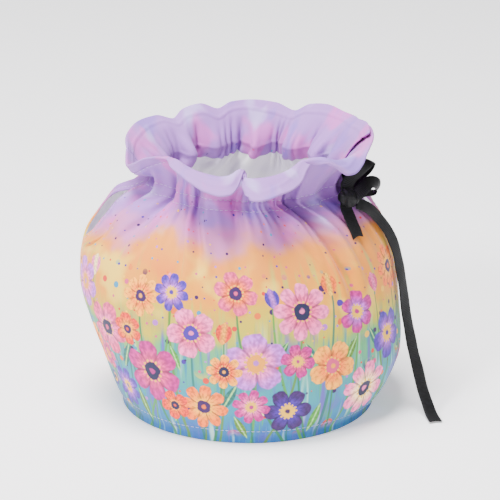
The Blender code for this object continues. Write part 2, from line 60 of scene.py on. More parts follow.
# Level courses of the body: radius and height on the four sides, then half the spout opening and
# half the handle slit, the depth of the gathers and the thickness of the padded cloth.
COURSE_NAMES = ("spout_r", "spout_z", "front_r", "front_z", "handle_r", "handle_z",
                "back_r", "back_z", "opening", "slit", "gather", "thick")
COURSES = (
    (83.6, 0.0, 83.0, 0.0, 79.4, 0.0, 82.0, 0.0, 0.0, 0.0, 0.0, 2.9),        # hem
    (83.8, 3.5, 83.2, 3.5, 79.8, 3.5, 82.2, 3.5, 0.0, 0.0, 0.0, 2.9),        # hem_top
    (87.2, 11.0, 86.0, 11.0, 86.0, 11.0, 84.8, 11.0, 0.0, 0.0, 0.0, 2.9),    # foot
    (92.4, 25.0, 88.8, 24.0, 93.0, 24.0, 87.6, 24.0, 0.0, 0.0, 0.0, 2.9),    # low
    (97.5, 40.0, 90.6, 38.0, 96.8, 37.0, 89.6, 38.0, 0.0, 0.4, 0.0, 2.9),    # slit_foot
    (102.6, 54.0, 91.0, 52.0, 97.0, 48.0, 90.0, 52.0, 0.0, 6.2, 0.0, 2.9),   # slit_low
    (107.6, 69.0, 90.6, 66.0, 96.2, 62.0, 89.4, 66.0, 0.0, 7.4, 0.0, 2.9),   # belly
    (110.0, 83.0, 89.4, 80.0, 94.8, 77.0, 88.4, 80.0, 0.0, 7.6, 0.0, 2.9),   # wide
    (109.8, 96.0, 87.4, 93.0, 93.0, 91.0, 86.4, 93.0, 0.0, 7.6, 0.0, 2.9),   # upper
    (108.2, 107.0, 84.2, 104.0, 91.0, 103.0, 83.2, 104.0, 0.0, 7.6, 0.3, 2.9),   # lip_foot
    (106.4, 113.5, 81.4, 112.0, 88.6, 111.0, 80.4, 112.0, 9.0, 7.6, 0.6, 2.9),   # lip_low
    (101.8, 121.5, 77.4, 120.0, 85.6, 118.5, 76.4, 120.0, 16.0, 7.6, 0.9, 2.9),  # lip_wide
    (95.8, 130.0, 72.6, 128.0, 80.6, 127.0, 72.0, 128.0, 16.5, 7.4, 1.1, 2.9),   # lip_mid
    (86.4, 137.5, 67.6, 135.5, 74.6, 135.0, 67.0, 135.5, 9.0, 6.2, 1.3, 2.8),   # lip_high
    (74.6, 142.8, 63.0, 142.0, 67.6, 141.5, 62.8, 142.0, 0.0, 4.6, 1.5, 2.7),    # lip_top
    (65.4, 146.6, 60.0, 146.5, 61.4, 146.5, 60.2, 146.5, 0.0, 3.6, 1.5, 2.5),    # casing_foot
    (62.4, 149.6, 58.6, 149.8, 58.4, 149.8, 59.0, 149.8, 0.0, 3.4, 1.5, 2.4),    # casing_mid
    (61.6, 153.4, 58.4, 153.4, 58.0, 153.4, 58.8, 153.4, 0.0, 3.4, 1.3, 2.3),    # casing_top
)
CASING_FOOT, CASING_TOP = 15, 17        # courses that the two casing seams run along

# Ruffle: angle, then the radius and height of its crest and of its rim.
RUFFLE_FRONT = (
    (-90.0, 72.5, 159.0, 79.5, 168.5),     # spout seam
    (-80.0, 75.0, 155.5, 80.5, 161.5),     # first lobe's tip
    (-71.0, 73.0, 159.5, 77.5, 166.6),
    (-66.0, 69.5, 165.0, 72.5, 171.0),
    (-60.0, 64.5, 170.0, 67.5, 173.0),
    (-54.0, 62.0, 172.0, 65.5, 173.6),     # notch
    (-46.0, 63.0, 173.0, 69.5, 172.2),
    (-40.0, 64.0, 172.8, 71.5, 170.8),
    (-30.0, 65.5, 171.5, 75.0, 167.4),
    (-21.0, 66.0, 170.5, 77.0, 163.6),     # second lobe
    (-14.5, 66.0, 170.0, 77.5, 162.4),
    (-9.5, 64.5, 170.5, 75.5, 163.2),
    (-6.5, 61.5, 171.5, 68.0, 167.0),
    (-4.2, 59.5, 172.0, 61.0, 173.8),      # deep fold
    (-1.4, 62.5, 170.0, 75.5, 161.0),
    (2.5, 65.0, 169.5, 78.5, 160.2),       # third lobe
    (7.5, 65.8, 169.8, 79.0, 161.4),
    (13.0, 65.5, 170.2, 77.5, 163.3),
    (19.0, 64.5, 171.0, 75.0, 164.6),
    (26.5, 62.5, 172.5, 70.0, 168.0),
    (31.5, 60.0, 173.5, 65.5, 172.5),
    (36.0, 59.5, 175.0, 63.5, 175.2),      # notch
    (40.0, 62.5, 177.0, 69.0, 176.2),
    (44.5, 65.0, 177.8, 74.5, 174.0),
    (50.0, 66.5, 176.0, 78.0, 167.6),      # fourth lobe's drooping tip
    (55.0, 67.5, 174.0, 79.0, 167.0),
    (61.5, 68.0, 172.5, 78.8, 169.6),
    (68.0, 68.4, 171.5, 78.4, 174.0),
    (77.0, 68.8, 171.0, 78.2, 176.8),
    (90.0, 68.8, 170.5, 78.0, 177.6),
    (101.0, 68.8, 170.2, 78.0, 177.4),
    (111.0, 69.0, 168.8, 78.2, 173.5),     # handle end
)
RUFFLE_BACK = (
    (85.0, 65.6, 170.6, 75.4, 180.2),      # handle end, inside the front one
    (100.0, 65.9, 170.4, 75.7, 180.2),
    (107.0, 65.9, 169.9, 75.8, 178.8),
    (113.0, 66.0, 169.2, 75.9, 177.2),
    (121.0, 68.8, 168.4, 78.6, 175.8),
    (129.0, 69.5, 168.0, 79.5, 175.2),
    (140.0, 69.0, 169.0, 78.0, 177.6),     # wide lobe
    (149.0, 67.5, 168.0, 76.0, 176.2),
    (156.5, 65.0, 165.5, 71.5, 171.6),     # notch
    (167.0, 66.0, 167.5, 73.0, 175.4),
    (180.0, 66.5, 168.5, 74.0, 176.4),     # back lobe
    (190.0, 66.0, 168.0, 73.0, 175.8),
    (198.0, 64.5, 166.0, 70.5, 172.6),     # notch
    (207.0, 65.5, 168.0, 73.5, 176.4),
    (216.0, 66.5, 167.5, 75.0, 174.4),     # narrow lobe
    (223.0, 66.5, 165.0, 74.0, 169.8),     # notch
    (232.0, 69.0, 167.0, 79.0, 173.6),
    (244.0, 71.5, 167.0, 81.5, 173.8),     # side lobe
    (257.0, 72.0, 164.5, 81.5, 171.5),
    (270.0, 72.5, 159.0, 79.5, 168.5),     # spout seam
)

# Folds of the body: angle at the casing, at 137, 120, 90 and 60 mm up, depth at the casing and at
# the foot of the fold, half its width, and the height where it has died out.
FOLD_LEVELS = (150.0, 137.0, 120.0, 90.0, 60.0)
FOLD_NAMES = ("depth", "foot_depth", "half", "ends")
FOLDS_FRONT = (
    (-76.0, -74.0, -72.0, -70.0, -70.0, 2.0, 0.8, 4.0, 114.0),
    (-57.0, -58.5, -59.5, -60.0, -60.0, 4.2, 1.2, 5.0, 108.0),
    (-34.0, -29.0, -24.5, -21.5, -20.0, 3.6, 1.2, 3.2, 94.0),
    (-12.0, -11.0, -9.0, -8.0, -8.0, 2.8, 1.4, 7.5, 122.0),
    (12.5, 18.0, 22.0, 25.0, 25.0, 3.0, 0.9, 4.0, 118.0),
    (22.5, 36.0, 42.0, 46.0, 45.0, 3.8, 1.8, 4.2, 62.0),
    (52.0, 56.0, 58.0, 60.0, 60.0, 2.2, 0.6, 4.5, 122.0),
)
FOLDS_BACK = (
    (112.0, 114.0, 116.0, 117.0, 117.0, 2.6, 0.8, 4.5, 116.0),
    (131.0, 128.0, 126.0, 124.0, 124.0, 3.6, 1.4, 4.4, 88.0),
    (152.0, 153.0, 154.0, 155.0, 155.0, 3.0, 0.8, 4.6, 112.0),
    (176.0, 180.0, 184.0, 187.0, 187.0, 3.6, 1.3, 4.4, 92.0),
    (203.0, 201.0, 200.0, 199.0, 199.0, 2.8, 0.8, 5.0, 118.0),
    (224.0, 229.0, 232.0, 234.0, 234.0, 3.6, 1.2, 4.4, 96.0),
    (250.0, 249.0, 248.0, 248.0, 248.0, 2.4, 0.8, 4.6, 118.0),
)

# Lengthways threads of each panel, at the casing and lower down: they run with the folds.
GUIDES_FRONT = (
    (-90.0, -90.0, -90.0, -90.0, -90.0),
    (-57.0, -58.5, -59.5, -60.0, -60.0),
    (-34.0, -29.0, -24.5, -21.5, -21.0),
    (-3.0, 1.0, 3.0, 5.0, 5.0),
    (22.5, 36.0, 42.0, 46.0, 45.0),
    (52.0, 59.0, 63.0, 66.0, 65.0),
    (90.0, 90.0, 90.0, 90.0, 90.0),
)
GUIDES_BACK = (
    (90.0, 90.0, 90.0, 90.0, 90.0),
    (131.0, 128.0, 126.0, 124.0, 124.0),
    (176.0, 180.0, 184.0, 187.0, 187.0),
    (224.0, 229.0, 232.0, 234.0, 234.0),
    (270.0, 270.0, 270.0, 270.0, 270.0),
)

# Creases finer than the folds: their two ends in millimetres of flat cloth (across from the panel's
# left edge, up from the hem), depth (a ridge is negative) and half width.
CREASE_NAMES = ("u0", "v0", "u1", "v1", "depth", "half")
CREASES_FRONT = (
    (86.0, 156.0, 70.0, 118.0, 0.9, 2.6),
    (99.0, 156.0, 95.0, 128.0, 0.8, 2.2),
    (131.0, 156.0, 133.0, 132.0, 0.7, 2.4),
    (111.0, 160.0, 111.0, 114.0, 1.4, 1.7),
    (108.0, 120.0, 112.0, 84.0, 0.7, 2.6),
    (196.0, 152.0, 213.0, 122.0, 1.1, 2.2),
    (218.0, 158.0, 217.0, 112.0, 1.2, 1.8),
    (214.0, 122.0, 219.0, 72.0, 1.2, 2.4),
    (226.0, 156.0, 240.0, 134.0, 0.9, 2.4),
    (34.0, 150.0, 18.0, 116.0, 1.7, 1.5),
    (58.0, 150.0, 47.0, 122.0, 0.7, 2.6),
    (262.0, 60.0, 250.0, 96.0, 0.7, 4.0),
    (12.0, 70.0, 34.0, 52.0, 0.8, 5.0),
    (24.0, 30.0, 60.0, 22.0, 0.6, 5.0),
    (222.0, 26.0, 262.0, 34.0, 0.6, 5.0),
)
CREASES_BACK = (
    (38.0, 154.0, 30.0, 118.0, 0.9, 2.8),
    (70.0, 156.0, 64.0, 112.0, 0.9, 2.6),
    (104.0, 156.0, 107.0, 126.0, 0.8, 2.4),
    (150.0, 156.0, 162.0, 108.0, 0.9, 2.8),
    (186.0, 156.0, 184.0, 126.0, 0.7, 2.6),
    (226.0, 154.0, 238.0, 112.0, 0.9, 2.8),
    (262.0, 150.0, 268.0, 118.0, 0.8, 3.0),
    (30.0, 62.0, 60.0, 44.0, 0.7, 5.0),
    (226.0, 36.0, 262.0, 50.0, 0.7, 5.0),
    (120.0, 22.0, 160.0, 28.0, 0.6, 5.0),
)

# Ribbon: centre points from the pot's axis, then the way its flat side faces.
KNOT_AT = (61.6, -32.8, 146.8)
KNOT_SIZE = (7.2, 4.3, 5.6)             # half its length, depth and height
TAIL_LONG = (
    (66.2, -32.6, 143.4, 0.46, -0.62, 0.64),
    (70.6, -29.4, 140.4, 0.55, -0.60, 0.58),
    (75.4, -25.4, 136.4, 0.62, -0.60, 0.50),
    (80.8, -21.6, 129.6, 0.72, -0.60, 0.36),
    (87.6, -19.4, 119.0, 0.76, -0.60, 0.24),
    (93.2, -18.2, 104.0, 0.78, -0.60, 0.14),
    (96.6, -18.0, 86.0, 0.78, -0.62, 0.05),
    (99.0, -18.6, 67.0, 0.76, -0.65, 0.00),
    (101.4, -19.6, 54.0, 0.70, -0.70, 0.00),
    (104.4, -22.2, 38.0, 0.66, -0.75, 0.00),
    (107.6, -25.4, 26.0, 0.62, -0.78, 0.04),
    (110.4, -29.4, 15.4, 0.56, -0.80, 0.12),
    (113.4, -34.0, 7.0, 0.46, -0.72, 0.50),
    (115.4, -39.6, 2.6, 0.26, -0.30, 0.90),
    (117.2, -46.0, 1.2, 0.04, -0.08, 1.00),
    (118.2, -50.0, 1.1, 0.00, 0.00, 1.00),
)
TAIL_SHORT = (
    (61.0, -33.6, 145.0, 0.42, -0.74, 0.52),
    (59.9, -35.4, 141.2, 0.42, -0.74, 0.52),
    (61.4, -38.8, 138.0, 0.46, -0.68, 0.56),
    (63.6, -42.4, 133.6, 0.50, -0.66, 0.56),
    (66.2, -45.2, 128.6, 0.54, -0.70, 0.46),
    (67.6, -46.6, 124.6, 0.56, -0.74, 0.36),
)
LOOP_UPPER = (
    (61.0, -31.6, 149.0, 0.36, -0.90, 0.26),
    (60.6, -29.6, 153.2, 0.36, -0.90, 0.26),
    (62.2, -27.6, 157.0, 0.40, -0.86, 0.30),
    (65.0, -26.2, 160.0, 0.44, -0.84, 0.32),
    (68.4, -25.4, 162.8, 0.44, -0.84, 0.32),
    (71.4, -23.6, 165.6, 0.42, -0.78, 0.46),
    (73.8, -20.4, 167.2, 0.30, -0.20, 0.93),
    (75.2, -16.8, 165.6, 0.52, 0.78, 0.34),
    (74.3, -14.8, 162.4, 0.50, 0.86, 0.02),
    (71.4, -16.0, 159.0, 0.44, 0.88, -0.16),
    (69.8, -17.8, 157.8, 0.40, 0.88, -0.24),
    (66.5, -25.5, 152.0, 0.40, 0.88, -0.24),
    (63.6, -30.0, 149.2, 0.40, 0.88, -0.24),
)
LOOP_HANDLE = (
    (64.4, -32.2, 148.2, 0.10, -0.62, 0.78),
    (68.8, -30.2, 149.9, 0.10, -0.62, 0.78),
    (71.7, -27.3, 152.2, 0.14, -0.60, 0.78),
    (75.0, -23.6, 154.0, 0.34, -0.56, 0.76),
    (78.4, -20.2, 152.9, 0.74, -0.46, 0.50),
    (80.6, -17.8, 150.0, 0.90, -0.40, -0.10),
    (79.8, -16.6, 146.4, 0.60, -0.30, -0.76),
    (77.0, -17.8, 145.6, -0.06, 0.10, -0.99),
    (74.0, -20.4, 146.6, -0.30, 0.30, -0.90),
    (71.4, -23.4, 147.6, -0.38, 0.34, -0.86),
    (69.6, -25.6, 148.0, -0.38, 0.34, -0.86),
    (66.8, -29.0, 147.6, -0.38, 0.34, -0.86),
    (64.2, -31.6, 147.2, -0.38, 0.34, -0.86),
)
LEAD_FRONT = (
    (57.6, -2.0, 150.6, -1.0, 0.0, 0.0),
    (58.6, -0.8, 150.6, -0.60, 0.80, 0.0),
    (60.6, -0.9, 150.6, 0.40, 0.92, 0.0),
    (62.6, -3.2, 150.4, 0.90, 0.44, 0.0),
    (63.7, -9.0, 149.8, 1.0, -0.02, 0.0),
    (63.8, -15.0, 149.2, 0.98, -0.20, 0.0),
    (62.6, -22.4, 148.6, 0.93, -0.36, 0.0),
    (61.0, -28.4, 147.8, 0.93, -0.36, 0.0),
)
LEAD_BACK = (
    (57.2, 2.2, 150.8, 1.0, 0.0, 0.0),
    (59.6, 1.6, 150.8, 0.62, 0.78, 0.0),
    (63.0, 0.2, 150.8, 0.70, 0.70, 0.0),
    (65.6, -3.6, 150.6, 0.94, 0.34, 0.0),
    (66.6, -10.0, 150.0, 1.0, 0.0, 0.0),
    (66.2, -16.8, 149.5, 0.97, -0.20, 0.04),
    (65.0, -22.8, 148.8, 0.94, -0.34, 0.06),
    (62.8, -28.6, 147.9, 0.94, -0.34, 0.06),
)

# Print: heads of the blossoms in millimetres of the flat front panel, radius, number of petals, turn in
# degrees, then the petal's tip, the petal's foot and the eye.
ROSE, PINK, MAGENTA, ORCHID = "#E0689A", "#EE8FBE", "#C22A9B", "#C884D8"
ORANGE, AMBER, VIOLET, PLUM = "#EE8A34", "#F5B84A", "#6A3FB4", "#5B2A78"
NAVY, GOLD, CORAL, CREAM = "#2F3568", "#F7CF58", "#E4583C", "#FBE9B8"
BLOSSOMS = (
    (25.0, 92.0, 13.0, 6, 12.0, ORCHID, PINK, AMBER),
    (22.0, 46.0, 11.5, 5, 40.0, AMBER, ORANGE, PLUM),
    (52.0, 68.0, 14.5, 5, 4.0, ROSE, PINK, NAVY),
    (58.0, 26.0, 11.5, 8, 18.0, VIOLET, ORCHID, GOLD),
    (83.0, 96.0, 10.5, 8, 0.0, AMBER, ORANGE, PLUM),
    (90.0, 46.0, 16.5, 6, 22.0, MAGENTA, ROSE, NAVY),
    (119.0, 76.0, 13.0, 5, 30.0, PINK, ROSE, VIOLET),
    (126.0, 26.0, 12.5, 8, 8.0, ORANGE, AMBER, PLUM),
    (148.0, 103.0, 11.0, 6, 16.0, ROSE, ORANGE, PLUM),
    (160.0, 58.0, 15.5, 5, 50.0, ORCHID, PINK, AMBER),
    (181.0, 24.0, 12.5, 6, 0.0, PLUM, VIOLET, GOLD),
    (190.0, 90.0, 14.5, 8, 6.0, PINK, ROSE, NAVY),
    (211.0, 52.0, 13.0, 5, 12.0, AMBER, ORANGE, ROSE),
    (231.0, 84.0, 11.0, 6, 34.0, MAGENTA, ORCHID, GOLD),
    (240.0, 30.0, 15.0, 8, 10.0, PINK, CREAM, NAVY),
    (263.0, 62.0, 13.0, 5, 22.0, VIOLET, ORCHID, GOLD),
    (274.0, 104.0, 12.0, 8, 0.0, ORANGE, AMBER, PLUM),
    (105.0, 101.0, 9.5, 8, 10.0, VIOLET, ORCHID, GOLD),
    (73.0, 72.0, 8.5, 6, 24.0, CORAL, AMBER, PLUM),
    (140.0, 52.0, 9.0, 8, 4.0, AMBER, CORAL, NAVY),
    (187.0, 58.0, 9.0, 6, 14.0, MAGENTA, ROSE, GOLD),
    (105.0, 24.0, 8.5, 5, 30.0, CORAL, ORANGE, NAVY),
    (157.0, 28.0, 9.5, 8, 12.0, MAGENTA, PINK, GOLD),
    (40.0, 45.0, 8.5, 6, 0.0, ROSE, MAGENTA, AMBER),
)
# Tulips: middle of the cup, half its height, lean in degrees, cup and inner petal.
TULIPS = (
    (4.0, 70.0, 9.0, 6.0, ROSE, PINK),
    (38.0, 108.0, 8.0, -8.0, PINK, CREAM),
    (72.0, 78.0, 8.0, 10.0, ORANGE, GOLD),
    (104.0, 106.0, 8.5, -6.0, ORCHID, PINK),
    (140.0, 78.0, 8.0, 8.0, CORAL, AMBER),
    (171.0, 100.0, 7.5, -12.0, VIOLET, ORCHID),
    (212.0, 106.0, 8.5, 6.0, ORANGE, GOLD),
    (250.0, 100.0, 7.5, -8.0, ROSE, PINK),
    (284.0, 38.0, 9.0, 4.0, MAGENTA, PINK),
)
# Leaves: middle, half length, heading in degrees.
LEAVES = (
    (12.0, 18.0, 11.0, 68.0), (40.0, 34.0, 10.0, 118.0), (68.0, 52.0, 11.0, 64.0),
    (76.0, 18.0, 12.0, 104.0), (107.0, 22.0, 12.0, 70.0), (108.0, 58.0, 9.0, 112.0),
    (143.0, 34.0, 11.0, 62.0), (150.0, 12.0, 10.0, 116.0), (176.0, 64.0, 9.0, 58.0),
    (200.0, 16.0, 12.0, 72.0), (196.0, 62.0, 9.0, 120.0), (225.0, 60.0, 10.0, 60.0),
    (262.0, 18.0, 12.0, 66.0), (281.0, 16.0, 10.0, 110.0), (246.0, 64.0, 9.0, 122.0),
)


class Kind(Enum):
    """The shader nodes that the finishes are made of, each with the one setting that it always has."""
    TIMES = ("ShaderNodeMath", "operation", "MULTIPLY")
    TIMES_PLUS = ("ShaderNodeMath", "operation", "MULTIPLY_ADD")
    MINUS = ("ShaderNodeMath", "operation", "SUBTRACT")
    SHARE = ("ShaderNodeMath", "operation", "DIVIDE")
    POWER = ("ShaderNodeMath", "operation", "POWER")
    SIZE = ("ShaderNodeMath", "operation", "ABSOLUTE")
    LEAST = ("ShaderNodeMath", "operation", "MINIMUM")
    BELOW = ("ShaderNodeMath", "operation", "LESS_THAN")
    ZIGZAG = ("ShaderNodeMath", "operation", "PINGPONG")
    SINE = ("ShaderNodeMath", "operation", "SINE")
    ANGLE = ("ShaderNodeMath", "operation", "ARCTAN2")
    MOVE = ("ShaderNodeVectorMath", "operation", "ADD")
    AWAY = ("ShaderNodeVectorMath", "operation", "SUBTRACT")
    SCALE = ("ShaderNodeVectorMath", "operation", "SCALE")
    LENGTH = ("ShaderNodeVectorMath", "operation", "LENGTH")
    TIE = ("ShaderNodeVectorMath", "operation", "MULTIPLY_ADD")
    TURN = ("ShaderNodeVectorRotate", "rotation_type", "Z_AXIS")
    MIX = ("ShaderNodeMix", "data_type", "RGBA")
    RANGE = ("ShaderNodeMapRange", "interpolation_type", "LINEAR")
    EASE = ("ShaderNodeMapRange", "interpolation_type", "SMOOTHSTEP")
    NOISE = ("ShaderNodeTexNoise", "noise_dimensions", "3D")
    CELLS = ("ShaderNodeTexVoronoi", "voronoi_dimensions", "2D")
    MAP = ("ShaderNodeUVMap", "uv_map", "cloth")
    SPLIT = ("ShaderNodeSeparateXYZ",)
    JOIN = ("ShaderNodeCombineXYZ",)
    RAMP = ("ShaderNodeValToRGB",)
    GAMMA = ("ShaderNodeGamma",)
    BUMP = ("ShaderNodeBump",)
    GROUP = ("ShaderNodeGroup",)
    INPUTS = ("NodeGroupInput",)
    OUTPUTS = ("NodeGroupOutput",)


MIX_SOCKETS = (0, 6, 7)                 # a colour mix's share, its first colour and its second


class Run(Enum):
    """Which way a row of stitches runs on a panel."""
    RIM = "beside the ruffle's rim"
    CASING_UPPER = "along the top of the casing"
    CASING_LOWER = "along the foot of the casing"
    HEM = "above the lower hem"
    FIRST_EDGE = "down the panel's first edge"
    LAST_EDGE = "down the panel's last edge"


def linear(code: str) -> tuple[float, float, float, float]:
    """Turns an sRGB hex colour into linear red, green, blue and a full alpha.

    Args:
        code: the colour as # and six hex digits.
    Returns:
        Linear red, green and blue, and 1.
    """
    parts = [int(code[i:i + 2], 16) / 255.0 for i in (1, 3, 5)]
    return (*(c / 12.92 if c <= 0.04045 else ((c + 0.055) / 1.055) ** 2.4 for c in parts), 1.0)


def add_node(tree: NodeTree, kind: Kind, links: Any = (), **settings: Any) -> Node:
    """Adds one shader node with its settings and what feeds its sockets.

    Args:
        tree: the material's or group's node tree.
        kind: which node to add.
        links: values, nodes or outputs for its sockets, in order, or by number or name in a dict. A node
            stands for its first live output.
        settings: the node's further properties.
    Returns:
        The new node.
    """
    name, *setting = kind.value
    node = tree.nodes.new(name)
    if setting:
        setattr(node, *setting)
    for name, value in settings.items():
        setattr(node, name, value)
    if not isinstance(links, dict):
        links = dict(zip(MIX_SOCKETS if kind is Kind.MIX else range(len(links)), links))
    for socket, source in links.items():
        if isinstance(source, Node):
            source = next(output for output in source.outputs if output.enabled)
        if isinstance(source, NodeSocket):
            tree.links.new(source, node.inputs[socket])
        else:
            node.inputs[socket].default_value = source
    return node


def fill_ramp(node: Node, stops: Sequence[tuple[float, str]], steps: bool = False) -> None:
    """Fills a ramp with colours.

    Args:
        node: the ramp.
        stops: place from 0 to 1 and hex colour of each stop.
        steps: whether the colours change in steps.
    """
    ramp = node.color_ramp
    ramp.interpolation = "CONSTANT" if steps else "EASE"
    while len(ramp.elements) < len(stops):
        ramp.elements.new(1.0)
    for element, (place, code) in zip(ramp.elements, stops):
        element.position = place
        element.color = linear(code)


def new_material(name: str) -> tuple[Material, NodeTree, Node]:
    """Makes an empty material.

    Args:
        name: the material's name.
    Returns:
        The material, its node tree and its shader.
    """
    material = bpy.data.materials.new(name)
    material.use_nodes = True
    return material, material.node_tree, material.node_tree.nodes["Principled BSDF"]


def new_group(name: str, sockets: dict[str, str]) -> tuple[NodeTree, Any]:
    """Makes the group of a motif, which lays it over the colour Under and gives Colour.

    Args:
        name: the group's name.
        sockets: kind of each input before Under, by its name.
    Returns:
        The group, and what its input node gives.
    """
    tree = bpy.data.node_groups.new(name, "ShaderNodeTree")
    for socket, kind in (*sockets.items(), ("Under", "Color")):
        tree.interface.new_socket(socket, in_out="INPUT", socket_type=f"NodeSocket{kind}")
    tree.interface.new_socket("Colour", in_out="OUTPUT", socket_type="NodeSocketColor")
    return tree, add_node(tree, Kind.INPUTS).outputs


def smooth(t: Any) -> Any:
    """Eases 0..1 with level ends."""
    t = np.clip(t, 0.0, 1.0)
    return t * t * (3.0 - 2.0 * t)


def bell(away: Any, half: float) -> Any:
    """Reads 1 on a line and falls off beside it over the half width."""
    return np.exp(-(away / half) ** 2)


def distances(line: np.ndarray) -> np.ndarray:
    """Measures how far along a line each of its points stands."""
    return np.concatenate(([0.0], np.cumsum(np.linalg.norm(np.diff(line, axis=0), axis=1))))


def bridge(t: Any, start: Any, leave: Any, end: Any, arrive: Any) -> Any:
    """Reads a cubic between two values with given slopes at both.

    Args:
        t: how far along, from 0 to 1.
        start: value at 0.
        leave: slope at 0.
        end: value at 1.
        arrive: slope at 1.
    Returns:
        The value there.
    """
    return (start * (1 + 2 * t) * (1 - t) ** 2 + leave * t * (1 - t) ** 2
            + end * t * t * (3 - 2 * t) - arrive * t * t * (1 - t))


def curve(at: Any, knots: Sequence[float], values: Sequence[float]) -> Any:
    """Reads a shape-keeping cubic through a table's points, with no overshoot between its rows.

    Args:
        at: where to read.
        knots: where the rows stand, rising.
        values: what the rows say.
    Returns:
        The values at those places.
    """
    knots, values = np.asarray(knots, float), np.asarray(values, float)
    step = np.diff(knots)
    slope = np.diff(values) / step
    tangent = np.zeros(len(knots))
    tangent[0], tangent[-1] = slope[0], slope[-1]
    for i in range(1, len(knots) - 1):
        if slope[i - 1] * slope[i] > 0.0:
            near, far = 2.0 * step[i] + step[i - 1], step[i] + 2.0 * step[i - 1]
            tangent[i] = (near + far) / (near / slope[i - 1] + far / slope[i])
    at = np.clip(at, knots[0], knots[-1])
    i = np.clip(np.searchsorted(knots, at, side="right") - 1, 0, len(step) - 1)
    t = (at - knots[i]) / step[i]
    return bridge(t, values[i], tangent[i] * step[i], values[i + 1], tangent[i + 1] * step[i])


def level(row: Sequence[float], height: Any) -> Any:
    """Reads angles given at FOLD_LEVELS at one height."""
    return curve(-np.asarray(height, float), [-z for z in FOLD_LEVELS], row[:5])


def ellipse(angle: np.ndarray, size: dict[str, float]) -> tuple[np.ndarray, np.ndarray]:
    """Reads a course at some angles.

    Args:
        angle: degrees round the pot.
        size: the course's sizes by name.
    Returns:
        Radius and height there.
    """
    sin, cos = np.sin(np.radians(angle)), np.cos(np.radians(angle))
    across = np.where(sin > 0, size["handle_r"], size["spout_r"])
    across_z = np.where(sin > 0, size["handle_z"], size["spout_z"])
    along = np.where(cos > 0, size["front_r"], size["back_r"])
    along_z = np.where(cos > 0, size["front_z"], size["back_z"])
    return 1.0 / np.hypot(sin / across, cos / along), across_z * sin ** 2 + along_z * cos ** 2


def polar(radius: Any, angle: Any, height: Any) -> np.ndarray:
    """Turns radius, angle in degrees and height into points."""
    radius, angle, height = np.broadcast_arrays(radius, np.radians(angle), height)
    return np.stack((radius * np.sin(angle), -radius * np.cos(angle), height), axis=-1)


def unit(vectors: np.ndarray) -> np.ndarray:
    """Scales vectors to length 1."""
    return vectors / np.maximum(np.linalg.norm(vectors, axis=-1, keepdims=True), 1e-9)


def add_object(name: str, points: np.ndarray, faces: list[tuple[int, ...]],
               materials: Sequence[Material], slots: Sequence[int] | None = None,
               maps: np.ndarray | None = None) -> Object:
    """Makes a smooth-shaded object in the scene.

    Args:
        name: the object's name.
        points: its points in millimetres from the pot's axis.
        faces: point numbers of each face.
        materials: its materials.
        slots: material number of each face, or none for the first throughout.
        maps: place on the flat cloth of each point in millimetres, or none.
    Returns:
        The object, riding on the one body.
    """
    mesh = bpy.data.meshes.new(name)
    mesh.from_pydata(((points + POT_AXIS) * MM).tolist(), [], faces)
    mesh.validate()
    mesh.polygons.foreach_set("use_smooth", [True] * len(mesh.polygons))
    if slots is not None:
        mesh.polygons.foreach_set("material_index", slots)
    if maps is not None:
        layer = mesh.uv_layers.new(name="cloth")
        corners = np.zeros(len(mesh.loops), dtype=np.int32)
        mesh.loops.foreach_get("vertex_index", corners)
        layer.uv.foreach_set("vector", maps[corners].astype(np.float32).ravel())
    for material in materials:
        mesh.materials.append(material)
    mesh.update()
    piece = bpy.data.objects.new(name, mesh)
    bpy.context.scene.collection.objects.link(piece)
    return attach(piece, BODY) or piece


